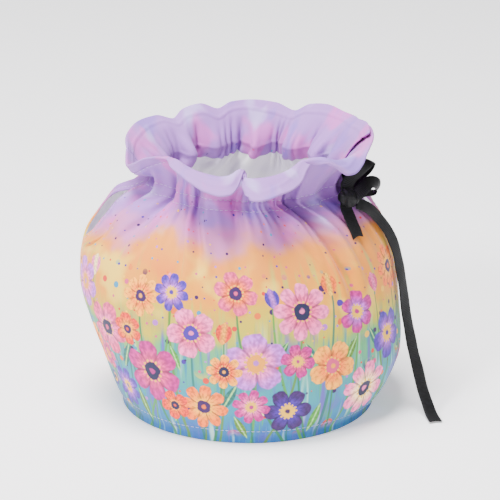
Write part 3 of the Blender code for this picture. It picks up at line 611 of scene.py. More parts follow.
@dataclass(frozen=True)
class PrintedPolyester:
    """Plain-woven polyester, dye-printed: matt, with soft washes of colour and sharp painted motifs."""
    name: str = "printed_polyester"
    shift: float = 0.0            # millimetres the chart of motifs is moved across this panel
    width: float = 290.0          # width of the chart
    roughness: float = 0.78
    sheen: float = 0.12           # short fibre ends catch a little light at the folds
    sheen_roughness: float = 0.5
    ior: float = 1.5
    weave: float = 0.9            # thread spacing, drawn three times coarser than the real 0.3 mm to show
    depth: float = 1.6            # how strongly the dye has taken: above 1 every colour is deeper and purer
    bloom: float = 1.3            # how much larger than charted the blossoms are printed
    weave_height: float = 0.05    # height of the threads in millimetres
    # Parts of a blossom, as shares of its radius: from, to
    eye: tuple[float, float] = (0.27, 0.31)      # edge of the eye
    pip: tuple[float, float] = (0.08, 0.12)      # edge of the pip in its middle
    bead: tuple[float, float] = (0.24, 0.32)     # edge of a bead, as a share of a bead's field
    bead_ring: float = 0.33       # where the ring of beads runs
    beads: float = 13.0           # how many there are
    wash: tuple[tuple[float, str], ...] = (
        (0.00, "#2688C0"), (0.14, "#4FB0C0"), (0.28, "#84C49A"), (0.36, "#DCCB48"), (0.46, "#F2B424"),
        (0.56, "#EFAE50"), (0.63, "#D598C4"), (0.71, "#B98FD0"), (1.00, "#BC98D2"))

    def blossom(self) -> NodeTree:
        """Makes the group that lays one round-petalled blossom over the cloth's colour.

        Returns:
            The node group.
        """
        tree = bpy.data.node_groups.get("blossom")
        if tree:
            return tree
        tree, given = new_group("blossom", {
            "Cloth": "Vector", "Centre": "Vector", "Zoom": "Float", "Turn": "Float", "Petals": "Float",
            "Tip": "Color", "Foot": "Color", "Eye": "Color"})
        add = partial(add_node, tree)
        cloth = add(Kind.TIE, (given["Under"], WAIT, given["Cloth"]))
        away = add(Kind.AWAY, (cloth, given["Centre"]))
        near = add(Kind.SCALE, {0: away, "Scale": given["Zoom"]})
        turned = add(Kind.TURN, {"Vector": near, "Angle": given["Turn"]})
        place = add(Kind.SPLIT, (turned,))
        length = add(Kind.LENGTH, (turned,)).outputs["Value"]
        shake = add(Kind.NOISE, {"Vector": cloth, "Scale": 0.22, "Detail": 1.0})
        radius = add(Kind.TIMES_PLUS, (shake, 0.16, length))
        radius = add(Kind.MINUS, (radius, 0.08))
        angle = add(Kind.ANGLE, (place.outputs["Y"], place.outputs["X"]))
        sector = add(Kind.SHARE, (angle, 2.0 * math.pi))
        petal = add(Kind.TIMES, (sector, given["Petals"]))
        side = add(Kind.ZIGZAG, (petal, 0.5))
        cube = add(Kind.POWER, (side, 3.0))
        edge = add(Kind.TIMES_PLUS, (cube, -3.0, 1.0))
        inside = add(Kind.MINUS, (edge, radius))
        shown = add(Kind.EASE, (inside, -0.01, 0.05, 0.0, 1.0))
        tint = add(Kind.EASE, (radius, 0.25, 0.85, 0.0, 1.0))
        colour = add(Kind.MIX, (tint, given["Foot"], given["Tip"]))
        valley = add(Kind.EASE, (side, 0.36, 0.5, 1.12, 0.62))
        strokes = add(Kind.JOIN, (angle, length))
        streak = add(Kind.NOISE, {"Vector": strokes, "Scale": 5.5, "Detail": 1.0})
        streak = add(Kind.RANGE, (streak, 0.35, 0.65, 0.80, 1.22))
        shade = add(Kind.TIMES, (valley, streak))
        colour = add(Kind.SCALE, {0: colour, "Scale": shade})
        eye = add(Kind.EASE, (radius, *self.eye, 1.0, 0.0))
        colour = add(Kind.MIX, (eye, colour, given["Eye"]))
        bead = add(Kind.TIMES, (sector, self.beads))
        bead = add(Kind.ZIGZAG, (bead, 0.5))
        ring = add(Kind.MINUS, (radius, self.bead_ring))
        ring = add(Kind.TIMES, (ring, 7.0))
        bead = add(Kind.LENGTH, (add(Kind.JOIN, (bead, ring)),))
        bead = add(Kind.RANGE, (bead.outputs["Value"], *self.bead, 1.0, 0.0))
        colour = add(Kind.MIX, (bead, colour, linear(GOLD)))
        pip = add(Kind.RANGE, (radius, *self.pip, 1.0, 0.0))
        colour = add(Kind.MIX, (pip, colour, given["Tip"]))
        over = add(Kind.MIX, (shown, given["Under"], colour))
        add(Kind.OUTPUTS, (over,))
        return tree

    def sprig(self, name: str, tulip: bool) -> NodeTree:
        """Makes the group that lays one tulip cup or one leaf over the cloth's colour.

        Args:
            name: the group's name.
            tulip: whether it is a cup with a zigzag top, or else a pointed leaf.
        Returns:
            The node group.
        """
        tree = bpy.data.node_groups.get(name)
        if tree:
            return tree
        tree, given = new_group(name, {
            "Cloth": "Vector", "Centre": "Vector", "Zoom": "Float", "Turn": "Float", "Main": "Color",
            "Middle": "Color"})
        add = partial(add_node, tree)
        cloth = add(Kind.TIE, (given["Under"], WAIT, given["Cloth"]))
        away = add(Kind.AWAY, (cloth, given["Centre"]))
        near = add(Kind.SCALE, {0: away, "Scale": given["Zoom"]})
        turned = add(Kind.TURN, {"Vector": near, "Angle": given["Turn"]})
        place = add(Kind.SPLIT, (turned,)).outputs
        wide = add(Kind.SIZE, (place["X"],))
        high = add(Kind.TIMES, (place["Y"], place["Y"]))
        taper = add(Kind.TIMES_PLUS, (high, -0.62 if tulip else -0.30, 0.66 if tulip else 0.30))
        inside = add(Kind.MINUS, (taper, wide))
        if tulip:
            zigzag = add(Kind.ZIGZAG, (place["X"], 0.33))
            crown = add(Kind.TIMES_PLUS, (zigzag, -1.1, 0.92))
            below = add(Kind.MINUS, (crown, place["Y"]))
            inside = add(Kind.LEAST, (inside, below))
        shown = add(Kind.EASE, (inside, -0.01, 0.05, 0.0, 1.0))
        rib = add(Kind.RANGE, (wide, 0.10 if tulip else 0.02, 0.34 if tulip else 0.08, 1.0, 0.0))
        colour = add(Kind.MIX, (rib, given["Main"], given["Middle"]))
        streak = add(Kind.NOISE, {"Vector": turned, "Scale": 5.0, "Detail": 1.0})
        streak = add(Kind.RANGE, (streak, 0.35, 0.65, 0.82, 1.18))
        colour = add(Kind.SCALE, {0: colour, "Scale": streak})
        over = add(Kind.MIX, (shown, given["Under"], colour))
        add(Kind.OUTPUTS, (over,))
        return tree

    def stem(self) -> NodeTree:
        """Makes the group that lays one bent stem, from a head down to the hem, over the cloth's colour.

        Returns:
            The node group.
        """
        tree = bpy.data.node_groups.get("stem")
        if tree:
            return tree
        tree, given = new_group("stem", {
            "Cloth": "Vector", "Head": "Vector", "Bend": "Float", "Main": "Color"})
        add = partial(add_node, tree)
        cloth = add(Kind.TIE, (given["Under"], WAIT, given["Cloth"]))
        away = add(Kind.AWAY, (given["Head"], cloth))
        place = add(Kind.SPLIT, (away,)).outputs
        drop = add(Kind.SHARE, (place["Y"], 60.0))
        bow = add(Kind.TIMES, (drop, drop))
        line = add(Kind.TIMES_PLUS, (bow, given["Bend"], place["X"]))
        line = add(Kind.SIZE, (line,))
        wide = add(Kind.TIMES_PLUS, (drop, 0.45, 0.55))
        inside = add(Kind.MINUS, (wide, line))
        inside = add(Kind.LEAST, (inside, place["Y"]))
        shown = add(Kind.RANGE, (inside, -0.25, 0.25, 0.0, 0.85))
        over = add(Kind.MIX, (shown, given["Under"], given["Main"]))
        add(Kind.OUTPUTS, (over,))
        return tree

    def washes(self, tree: NodeTree, cloth: Any, across: Any, up: Any) -> Node:
        """Paints the soft ground: aqua below, yellow and orange in the middle, lilac with pink above.

        Args:
            tree: the material's node tree.
            cloth: place on the flat cloth in millimetres.
            across: its part across the panel.
            up: its part up from the hem.
        Returns:
            The node with the ground's colour.
        """
        add = partial(add_node, tree)
        clouds = add(Kind.NOISE, {"Vector": cloth, "Scale": 0.026, "Detail": 3.0})
        cloudy = add(Kind.TIMES_PLUS, (clouds, 52.0, up))
        height = add(Kind.RANGE, (cloudy, 26.0, 246.0, 0.0, 1.0))
        ground = add(Kind.RAMP, (height,))
        fill_ramp(ground, self.wash)
        low = add(Kind.EASE, (up, 62.0, 92.0, 1.0, 0.0))
        middle = add(Kind.EASE, (up, 70.0, 96.0, 0.0, 1.0))
        above = add(Kind.EASE, (up, 124.0, 146.0, 0.0, 1.0))
        not_above = add(Kind.EASE, (up, 112.0, 132.0, 1.0, 0.0))
        band = add(Kind.TIMES, (middle, not_above))
        # Brush strokes run up the cloth, 4 mm across and 45 mm long: scale, where the noise starts and ends
        # to show, colour, where they lie and how strong they are.
        upright = add(Kind.JOIN, (add(Kind.TIMES, (across, 0.25)), add(Kind.TIMES, (up, 0.022))))
        for scale, low_end, high_end, code, where, most in (
                (1.0, 0.52, 0.66, "#2F9FC0", low, 0.85), (0.8, 0.55, 0.68, "#8E6FCB", low, 0.8),
                (1.3, 0.56, 0.70, "#6DBB7C", low, 0.8), (0.7, 0.56, 0.70, "#DDF1E4", low, 0.7),
                (0.9, 0.54, 0.70, "#B9D98A", band, 0.5)):
            moved = add(Kind.MOVE, (upright, (7.3 * scale * 5, 3.1 * scale * 4, 0.0)))
            strokes = add(Kind.NOISE, {"Vector": moved, "Scale": scale, "Detail": 2.5})
            amount = add(Kind.EASE, (strokes, low_end, high_end, 0.0, most))
            amount = add(Kind.TIMES, (amount, where))
            ground = add(Kind.MIX, (amount, ground, linear(code)))
        # Clouds of colour some 30 mm across: scale, offset, then as for the strokes.
        for scale, offset, low_end, high_end, code, where, most in (
                (0.034, 40.0, 0.50, 0.66, "#F6E07A", band, 0.8),
                (0.030, 90.0, 0.52, 0.68, "#F09C4E", band, 0.75),
                (0.030, 310.0, 0.52, 0.64, "#DD82CB", above, 0.6),
                (0.036, 170.0, 0.58, 0.72, "#CFC4EA", above, 0.6),
                (0.040, 260.0, 0.56, 0.70, "#9482D4", above, 0.4),
                (0.030, 505.0, 0.54, 0.70, "#8E68CC", low, 0.6)):
            moved = add(Kind.MOVE, (cloth, (offset, offset * 0.6, 0.0)))
            patch = add(Kind.NOISE, {"Vector": moved, "Scale": scale, "Detail": 2.0})
            amount = add(Kind.EASE, (patch, low_end, high_end, 0.0, most))
            amount = add(Kind.TIMES, (amount, where))
            ground = add(Kind.MIX, (amount, ground, linear(code)))
        return ground

    def spots(self, tree: NodeTree, cloth: Any, up: Any, ground: Any) -> Node:
        """Strews rings and dots of several sizes over the ground.

        Args:
            tree: the material's node tree.
            cloth: place on the flat cloth in millimetres.
            up: its part up from the hem.
            ground: the colour so far.
        Returns:
            The node with the colour.
        """
        add = partial(add_node, tree)
        palette = ((0.0, PLUM), (0.16, ORCHID), (0.3, CORAL), (0.42, GOLD), (0.54, "#4FA9C9"), (0.66, ROSE),
                   (0.8, VIOLET), (0.9, ORANGE))
        # Cell, least and greatest radius in millimetres, share of cells with a spot, band up the cloth, ring
        for cell, least, most, share, foot, head, ringed in (
                (23.0, 4.4, 6.2, 0.50, 4.0, 52.0, True), (11.0, 1.1, 2.2, 0.55, 16.0, 118.0, False),
                (7.0, 0.5, 0.95, 0.45, 30.0, 168.0, False)):
            cells = add(Kind.CELLS, {"Vector": cloth, "Scale": 1.0 / cell, "Randomness": 0.75}).outputs
            chance = add(Kind.SPLIT, (cells["Color"],)).outputs
            radius = add(Kind.RANGE, (chance["X"], 0.0, 1.0, least / cell, most / cell))
            near = add(Kind.SHARE, (cells["Distance"], radius))
            shown = add(Kind.RANGE, (near, 0.94, 1.06, 1.0, 0.0))
            taken = add(Kind.BELOW, (chance["Y"], share))
            above = add(Kind.RANGE, (up, foot, foot + 8.0, 0.0, 1.0))
            under = add(Kind.RANGE, (up, head - 10.0, head, 1.0, 0.0))
            shown = add(Kind.TIMES, (shown, taken))
            shown = add(Kind.TIMES, (shown, above))
            shown = add(Kind.TIMES, (shown, under))
            colour = add(Kind.RAMP, (chance["Z"],))
            fill_ramp(colour, palette, steps=True)
            if ringed:
                other = add(Kind.RAMP, (chance["X"],))
                fill_ramp(other, ((0.0, CREAM), (0.3, PINK), (0.55, GOLD), (0.8, "#8FD0DC")), steps=True)
                ring = add(Kind.RANGE, (near, 0.58, 0.66, 1.0, 0.0))
                colour = add(Kind.MIX, (ring, colour, other))
                heart = add(Kind.RANGE, (near, 0.26, 0.34, 1.0, 0.0))
                colour = add(Kind.MIX, (heart, colour, linear(PLUM)))
            ground = add(Kind.MIX, (shown, ground, colour))
        return ground

    def motifs(self, tree: NodeTree, cloth: Any, ground: Any) -> Node:
        """Lays the charted stems, leaves, tulips and blossoms over the ground.

        Args:
            tree: the material's node tree.
            cloth: place on the flat cloth in millimetres.
            ground: the colour so far.
        Returns:
            The node with the colour.
        """
        add = partial(add_node, tree)
        greens = ("#4C9A63", "#6FB35A", "#3E8E86", "#7FA34C")
        heads = [(u, v - 6.0, 4.0) for u, v, *_ in BLOSSOMS] + [(u, v - 6.0, -3.0) for u, v, *_ in TULIPS]
        for number, (u, v, bend) in enumerate(heads):
            place = ((u + self.shift) % self.width, v, 0.0)
            ground = add(Kind.GROUP, node_tree=self.stem(), links={
                "Cloth": cloth, "Head": place, "Bend": bend * (1.0 + number % 3) * (-1.0) ** number,
                "Main": linear(greens[number % 4]), "Under": ground})
        for number, (u, v, half, turn) in enumerate(LEAVES):
            place = ((u + self.shift) % self.width, v, 0.0)
            ground = add(Kind.GROUP, node_tree=self.sprig("leaf", False), links={
                "Cloth": cloth, "Centre": place, "Zoom": 1.0 / half, "Turn": math.radians(90.0 - turn),
                "Main": linear(greens[number % 4]), "Middle": linear("#B8DFA0"), "Under": ground})
        for u, v, half, lean, cup, middle in TULIPS:
            place = ((u + self.shift) % self.width, v, 0.0)
            ground = add(Kind.GROUP, node_tree=self.sprig("tulip", True), links={
                "Cloth": cloth, "Centre": place, "Zoom": 1.0 / half, "Turn": math.radians(lean),
                "Main": linear(cup), "Middle": linear(middle), "Under": ground})
        for u, v, radius, petals, turn, tip, foot, eye in BLOSSOMS:
            place = ((u + self.shift) % self.width, v, 0.0)
            ground = add(Kind.GROUP, node_tree=self.blossom(), links={
                "Cloth": cloth, "Centre": place, "Zoom": 1.0 / (radius * self.bloom),
                "Turn": math.radians(turn), "Petals": float(petals), "Tip": linear(tip),
                "Foot": linear(foot), "Eye": linear(eye), "Under": ground})
        return ground

    def build(self) -> Material:
        """Makes the material.

        Returns:
            The printed cloth.
        """
        material, tree, shader = new_material(self.name)
        add = partial(add_node, tree)
        cloth = add(Kind.MAP)
        place = add(Kind.SPLIT, (cloth,)).outputs
        ground = self.washes(tree, cloth, place["X"], place["Y"])
        ground = self.spots(tree, cloth, place["Y"], ground)
        ground = self.motifs(tree, cloth, ground)
        dye = add(Kind.GAMMA, {"Color": ground, "Gamma": self.depth})
        tree.links.new(dye.outputs[0], shader.inputs["Base Color"])
        weave_bump(tree, shader, place, self.weave, self.weave_height)
        shader.inputs["Roughness"].default_value = self.roughness
        shader.inputs["IOR"].default_value = self.ior
        shader.inputs["Sheen Weight"].default_value = self.sheen
        shader.inputs["Sheen Roughness"].default_value = self.sheen_roughness
        return material


def weave_bump(tree: NodeTree, shader: Node, place: Any, pitch: float,
               depth: float) -> None:
    """Raises a plain weave, one thread over and one under, and small slubs on a shader.

    Args:
        tree: the material's node tree.
        shader: its shader.
        place: outputs of the place on the flat cloth.
        pitch: thread spacing in millimetres.
        depth: height of the threads in millimetres.
    """
    add = partial(add_node, tree)
    waves = []
    for axis in ("X", "Y"):
        turns = add(Kind.TIMES, (place[axis], math.pi / pitch))
        waves.append(add(Kind.SINE, (turns,)))
    weave = add(Kind.TIMES, tuple(waves))
    slubs = add(Kind.NOISE, {"Vector": add(Kind.JOIN, (place["X"], place["Y"])),
                                        "Scale": 0.35, "Detail": 4.0})
    relief = add(Kind.TIMES_PLUS, (slubs, 1.6, weave))
    bump = add(Kind.BUMP, {"Strength": 0.35, "Distance": depth * MM, "Height": relief})
    tree.links.new(bump.outputs["Normal"], shader.inputs["Normal"])


@dataclass(frozen=True)
class PolyesterReverse:
    """Unprinted reverse of the woven polyester: dull white, with the print only just showing through."""
    name: str = "white_reverse"
    ground: str = "#EDEBEE"
    stain: str = "#DCD5E6"
    roughness: float = 0.85
    sheen: float = 0.1
    weave: float = 0.9            # thread spacing, as coarse as on the printed side
    weave_height: float = 0.06    # height of the threads in millimetres

    def build(self) -> Material:
        """Makes the material.

        Returns:
            The white reverse.
        """
        material, tree, shader = new_material(self.name)
        add = partial(add_node, tree)
        cloth = add(Kind.MAP)
        place = add(Kind.SPLIT, (cloth,)).outputs
        patch = add(Kind.NOISE, {"Vector": cloth, "Scale": 0.03, "Detail": 2.0})
        amount = add(Kind.RANGE, (patch, 0.4, 0.65, 0.0, 1.0))
        colour = add(Kind.MIX, (amount, linear(self.ground), linear(self.stain)))
        tree.links.new(colour.outputs[2], shader.inputs["Base Color"])
        weave_bump(tree, shader, place, self.weave, self.weave_height)
        shader.inputs["Roughness"].default_value = self.roughness
        shader.inputs["Sheen Weight"].default_value = self.sheen
        return material


@dataclass(frozen=True)
class RibbedRibbon:
    """Black polyester ribbon woven with thick weft ribs: dull, with a soft line of light along its bends."""
    name: str = "black_ribbed_ribbon"
    ground: str = "#08080A"
    worn: str = "#101013"
    roughness: float = 0.55
    sheen: float = 0.02
    specular: float = 0.22        # the ribs shade one another, so the dye looks nearly flat black
    ior: float = 1.5
    rib: float = 1.1              # rib spacing in millimetres, a little coarser than a usual 0.8
    rib_height: float = 0.12      # height of a rib in millimetres

    def build(self) -> Material:
        """Makes the material.

        Returns:
            The black ribbon.
        """
        material, tree, shader = new_material(self.name)
        add = partial(add_node, tree)
        cloth = add(Kind.MAP)
        place = add(Kind.SPLIT, (cloth,)).outputs
        patch = add(Kind.NOISE, {"Vector": cloth, "Scale": 0.4, "Detail": 3.0})
        amount = add(Kind.RANGE, (patch, 0.4, 0.7, 0.0, 1.0))
        colour = add(Kind.MIX, (amount, linear(self.ground), linear(self.worn)))
        tree.links.new(colour.outputs[2], shader.inputs["Base Color"])
        turns = add(Kind.TIMES, (place["Y"], 2.0 * math.pi / self.rib))
        ribs = add(Kind.SINE, (turns,))
        bump = add(Kind.BUMP, {"Strength": 0.5, "Distance": self.rib_height * MM, "Height": ribs})
        tree.links.new(bump.outputs["Normal"], shader.inputs["Normal"])
        shader.inputs["Roughness"].default_value = self.roughness
        shader.inputs["Specular IOR Level"].default_value = self.specular
        shader.inputs["IOR"].default_value = self.ior
        shader.inputs["Sheen Weight"].default_value = self.sheen
        return material


@dataclass(frozen=True)
class SpunThread:
    """Spun polyester sewing thread in pale lilac: matt and a little hairy, so with a faint halo."""
    name: str = "lilac_thread"
    ground: str = "#B9A9CE"
    worn: str = "#CFC3DF"
    roughness: float = 0.75
    sheen: float = 0.2

    def build(self) -> Material:
        """Makes the material.

        Returns:
            The thread.
        """
        material, tree, shader = new_material(self.name)
        add = partial(add_node, tree)
        patch = add(Kind.NOISE, {"Scale": 900.0, "Detail": 1.0})
        colour = add(Kind.MIX, (patch, linear(self.ground), linear(self.worn)))
        tree.links.new(colour.outputs[2], shader.inputs["Base Color"])
        shader.inputs["Roughness"].default_value = self.roughness
        shader.inputs["Sheen Weight"].default_value = self.sheen
        return material


@dataclass
class Studio:
    """A pale floor, soft lamps and the camera that stands where the photograph's did. Metres."""
    aim: tuple[float, float, float] = (0.00566, 0.0006, 0.0997)
    distance: float = 2.6
    elevation: float = 20.0
    lens: float = 291.2
    sensor: float = 36.0
    floor_half: float = 6.0
    floor_colour: str = "#F4F3F5"
    floor_roughness: float = 0.9
    floor_glow: float = 0.55
    floor_drop: float = 0.0004    # keeps the floor clear of the hem, which rests on z = 0
    sky_colour: str = "#F7F7FA"
    sky: float = 0.34
    # Lamp: name, place, size and watts. Each points at the aim.
    lamps: tuple[tuple[str, tuple[float, float, float], float, float], ...] = (
        ("lamp_over", (-0.20, -0.10, 1.5), 0.7, 62.0),
        ("lamp_front_left", (-1.2, -1.4, 1.5), 0.6, 62.0),
        ("lamp_right", (1.5, -0.9, 0.9), 1.2, 6.0),
    )

    def camera(self) -> None:
        """Makes the camera at the photograph's angle."""
        data = bpy.data.cameras.new("camera")
        data.lens, data.sensor_width = self.lens, self.sensor
        data.clip_start, data.clip_end = 0.05, 50.0
        camera = bpy.data.objects.new("camera", data)
        tilt = math.radians(self.elevation)
        camera.location = Vector(self.aim) + Vector((0.0, -math.cos(tilt), math.sin(tilt))) * self.distance
        camera.rotation_euler = (math.radians(90.0 - self.elevation), 0.0, 0.0)
        bpy.context.scene.collection.objects.link(camera)
        bpy.context.scene.camera = camera

    def floor(self) -> None:
        """Lays the pale floor."""
        mesh = bpy.data.meshes.new("floor")
        half = self.floor_half
        corners = [(-half, -half, 0.0), (half, -half, 0.0), (half, half, 0.0), (-half, half, 0.0)]
        mesh.from_pydata(corners, [], [(0, 1, 2, 3)])
        material, tree, shader = new_material("matt_paper")
        shader.inputs["Base Color"].default_value = linear(self.floor_colour)
        shader.inputs["Roughness"].default_value = self.floor_roughness
        shader.inputs["Emission Color"].default_value = linear(self.floor_colour)
        shader.inputs["Emission Strength"].default_value = self.floor_glow
        mesh.materials.append(material)
        floor = bpy.data.objects.new("floor", mesh)
        floor.location.z = -self.floor_drop
        bpy.context.scene.collection.objects.link(floor)

    def light(self) -> None:
        """Hangs the soft lamps and sets the sky."""
        world = bpy.data.worlds.new("sky")
        bpy.context.scene.world = world
        world.use_nodes = True
        background = world.node_tree.nodes["Background"]
        background.inputs["Color"].default_value = linear(self.sky_colour)
        background.inputs["Strength"].default_value = self.sky
        for name, place, size, watts in self.lamps:
            data = bpy.data.lights.new(name, "AREA")
            data.shape, data.size, data.energy = "DISK", size, watts
            lamp = bpy.data.objects.new(name, data)
            lamp.location = place
            lamp.rotation_euler = (Vector(self.aim) - Vector(place)).to_track_quat("-Z", "Y").to_euler()
            bpy.context.scene.collection.objects.link(lamp)

    def build(self) -> None:
        """Makes the whole studio."""
        self.camera()
        self.floor()
        self.light()
        LOG.info("studio: camera, floor and %d lamps", len(self.lamps))


@dataclass
class Ribbon:
    """One length of the ribbon, swept along its path."""
    name: str
    node: str
    path: tuple
    cut: float = 0.0              # depth of the notch cut in its end
    wide: float = 8.4
    thick: float = 0.8
    crown: float = 0.25           # how far its middle stands proud of its edges
    step: float = 1.0             # spacing of its sections
    ripple: float = 0.16          # depth of its small uneven waves
    across: int = 10              # strips across its width
    edge: float = 1.035           # where its rounded edge lies, in half widths

    def lengths(self) -> np.ndarray:
        """Measures how far along the path each row stands."""
        return distances(np.array(self.path)[:, :3])

    def line(self, count: int) -> tuple[np.ndarray, np.ndarray]:
        """Reads the path at even spacing.

        Args:
            count: how many points.
        Returns:
            Centre points, and the way the flat side faces at each.
        """
        rows, lengths = np.array(self.path), self.lengths()
        at = np.linspace(0.0, lengths[-1], count)
        fine = np.stack([curve(at, lengths, rows[:, k]) for k in range(6)], axis=1)
        for _ in range(2):
            fine[1:-1] = (fine[:-2] + 2.0 * fine[1:-1] + fine[2:]) / 4.0
        return fine[:, :3], fine[:, 3:]

    def route(self, count: int = 40) -> list[tuple[float, float, float]]:
        """Gives the centreline in metres in the shared frame."""
        return [tuple(p) for p in (self.line(count)[0] + POT_AXIS) * MM]

    def length(self) -> float:
        """Measures its real length in metres."""
        centre, _ = self.line(200)
        return float(np.linalg.norm(np.diff(centre, axis=0), axis=1).sum()) * MM

    def build(self, material: Material) -> Object:
        """Sweeps the ribbon's section along the path.

        Args:
            material: the ribbon's finish.
        Returns:
            The ribbon's object.
        """
        total = self.lengths()[-1]
        count = max(12, int(total / self.step))
        centre, facing = self.line(count)
        way = unit(np.gradient(centre, axis=0))
        out = unit(facing - way * np.sum(facing * way, axis=1, keepdims=True))
        side = np.cross(way, out)
        # Section: over the face, round the edge and back under.
        half = np.linspace(-1.0, 1.0, self.across + 1)
        lift = self.crown * (1.0 - half ** 2)
        section = [(h, 0.5, r) for h, r in zip(half, lift)]
        section += [(self.edge, 0.0, 0.0)]
        section += [(h, -0.5, r) for h, r in zip(half[::-1], lift[::-1])]
        section += [(-self.edge, 0.0, 0.0)]
        along = np.linspace(0.0, total, count)
        points, maps = [], []
        for i in range(count):
            wave = self.ripple * math.sin(along[i] / 3.7 + 0.6 * math.sin(along[i] / 9.1))
            bow = self.ripple * math.sin(along[i] / 6.3 + 1.0)
            for h, face, raised in section:
                notch = self.cut * (1.0 - abs(h)) if i == count - 1 else 0.0
                # The face thins towards its selvedges.
                height = face * self.thick * (1.0 - 0.25 * abs(h) ** 6) + raised + wave * h + bow * h * h
                points.append(centre[i] + side[i] * (h * self.wide / 2) - way[i] * notch + out[i] * height)
                maps.append((h * self.wide / 2, along[i] - notch))
        ring = len(section)
        faces = [(i * ring + k, i * ring + (k + 1) % ring,
                  (i + 1) * ring + (k + 1) % ring, (i + 1) * ring + k)
                 for i in range(count - 1) for k in range(ring)]
        for start, turned in ((0, False), ((count - 1) * ring, True)):
            for k in range(self.across):
                under = 2 * self.across + 2
                quad = (start + k, start + under - k, start + under - k - 1, start + k + 1)
                faces.append(quad[::-1] if turned else quad)
            left = (start, start + ring - 1, start + 2 * self.across + 2)
            right = (start + self.across, start + self.across + 2, start + self.across + 1)
            faces += [left[::-1], right[::-1]] if turned else [left, right]
        piece = add_object(self.name, np.array(points), faces, [material], maps=np.array(maps))
        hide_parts(self.node)
        LOG.info("%s: %.0f mm of ribbon", self.name, total)
        return piece


@dataclass
class Knot:
    """The tie: the ribbon wrapped round itself and pulled tight."""
    name: str = "ribbon_tie"
    node: str = "ribbon_knot"
    rings: int = 40
    spokes: int = 64
    along: tuple[float, float, float] = (0.80, 0.40, -0.28)    # the way its longest axis points
    out: tuple[float, float, float] = (0.40, -0.80, 0.40)      # the way its front faces
    blunt: float = 0.62           # below 1, its ends are blunter than an ellipse's
    wrap: float = 0.52            # half the wrapping turn's width, in radians
    lip: float = 0.56             # where the wrap's edges press the lump in
    pleat: float = 0.32           # depth of the small folds where the ribbon is squeezed

    def build(self, material: Material) -> Object:
        """Makes the lump with its wrapping turn.

        Args:
            material: the ribbon's finish.
        Returns:
            The knot's object.
        """
        along = unit(np.array(self.along))
        out = np.array(self.out)
        out = unit(out - along * np.dot(out, along))
        up = np.cross(out, along)
        points, maps = [], []
        for ring in range(1, self.rings):
            t = math.pi * ring / self.rings
            for spoke in range(self.spokes):
                a = 2 * math.pi * spoke / self.spokes
                lean = t + 0.20 * math.sin(a + 0.4)
                band = float(smooth((self.wrap - abs(lean - math.pi / 2)) / 0.10))
                lips = bell(abs(lean - math.pi / 2) - self.lip, 0.08)
                square = 1.0 + 0.10 * math.cos(2 * a) ** 2
                folds = self.pleat * math.sin(5 * a + 2.4 * t) * (1.0 - band) / KNOT_SIZE[1]
                grain = 0.05 * math.sin(3 * a + 9.0 * lean) * band
                r = math.sin(t) ** self.blunt * (0.90 + 0.10 * band - 0.10 * lips) * square
                r += (folds + grain) * math.sin(t)
                points.append(np.array(KNOT_AT) - along * math.cos(t) * KNOT_SIZE[0]
                              + out * (r * KNOT_SIZE[1] * math.cos(a))
                              + up * (r * KNOT_SIZE[2] * math.sin(a)))
                maps.append((ring * 0.3, 4.5 * a) if band > 0.5 else (4.5 * a, ring * 0.3))
        for sign in (-1.0, 1.0):
            points.append(np.array(KNOT_AT) + along * sign * KNOT_SIZE[0])
            maps.append((0.0, 0.0))
        faces = []
        poles, last = (self.rings - 1) * self.spokes, (self.rings - 2) * self.spokes
        for ring in range(self.rings - 2):
            for s in range(self.spokes):
                a, b = ring * self.spokes + s, ring * self.spokes + (s + 1) % self.spokes
                faces.append((a, a + self.spokes, b + self.spokes, b))
        for s in range(self.spokes):
            faces.append((poles, s, (s + 1) % self.spokes))
            faces.append((poles + 1, last + (s + 1) % self.spokes, last + s))
        piece = add_object(self.name, np.array(points), faces, [material], maps=np.array(maps))
        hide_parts(self.node)
        LOG.info("%s: wrapped knot", self.name)
        return piece


@dataclass
class TiedRibbon:
    """The drawstring: its two runs out of the casing, the knot, two loops and two ends."""
    long_end: Ribbon = field(default_factory=lambda: Ribbon(
        "ribbon_long_end", "ribbon_tail_long", TAIL_LONG, cut=0.9))
    others: tuple[Ribbon, ...] = (
        Ribbon("ribbon_short_end", "ribbon_tail_short", TAIL_SHORT, cut=1.6),
        Ribbon("ribbon_upper_loop", "ribbon_loop_upper", LOOP_UPPER, step=0.7),
        Ribbon("ribbon_side_loop", "ribbon_loop_handle", LOOP_HANDLE, step=0.7),
        Ribbon("ribbon_front_run", "ribbon_lead_front", LEAD_FRONT, step=0.7),
        Ribbon("ribbon_back_run", "ribbon_lead_back", LEAD_BACK, step=0.7),
    )

    def build(self, material: Material) -> None:
        """Args:
            material: the ribbon's finish.
        """
        free = self.long_end.build(material)
        going = [part.build(material) for part in self.others]
        going.append(Knot().build(material))
        route = self.long_end.route()
        self.long_end.length()
        LOG.info("ribbon's free end: %.3f m", self.long_end.length())


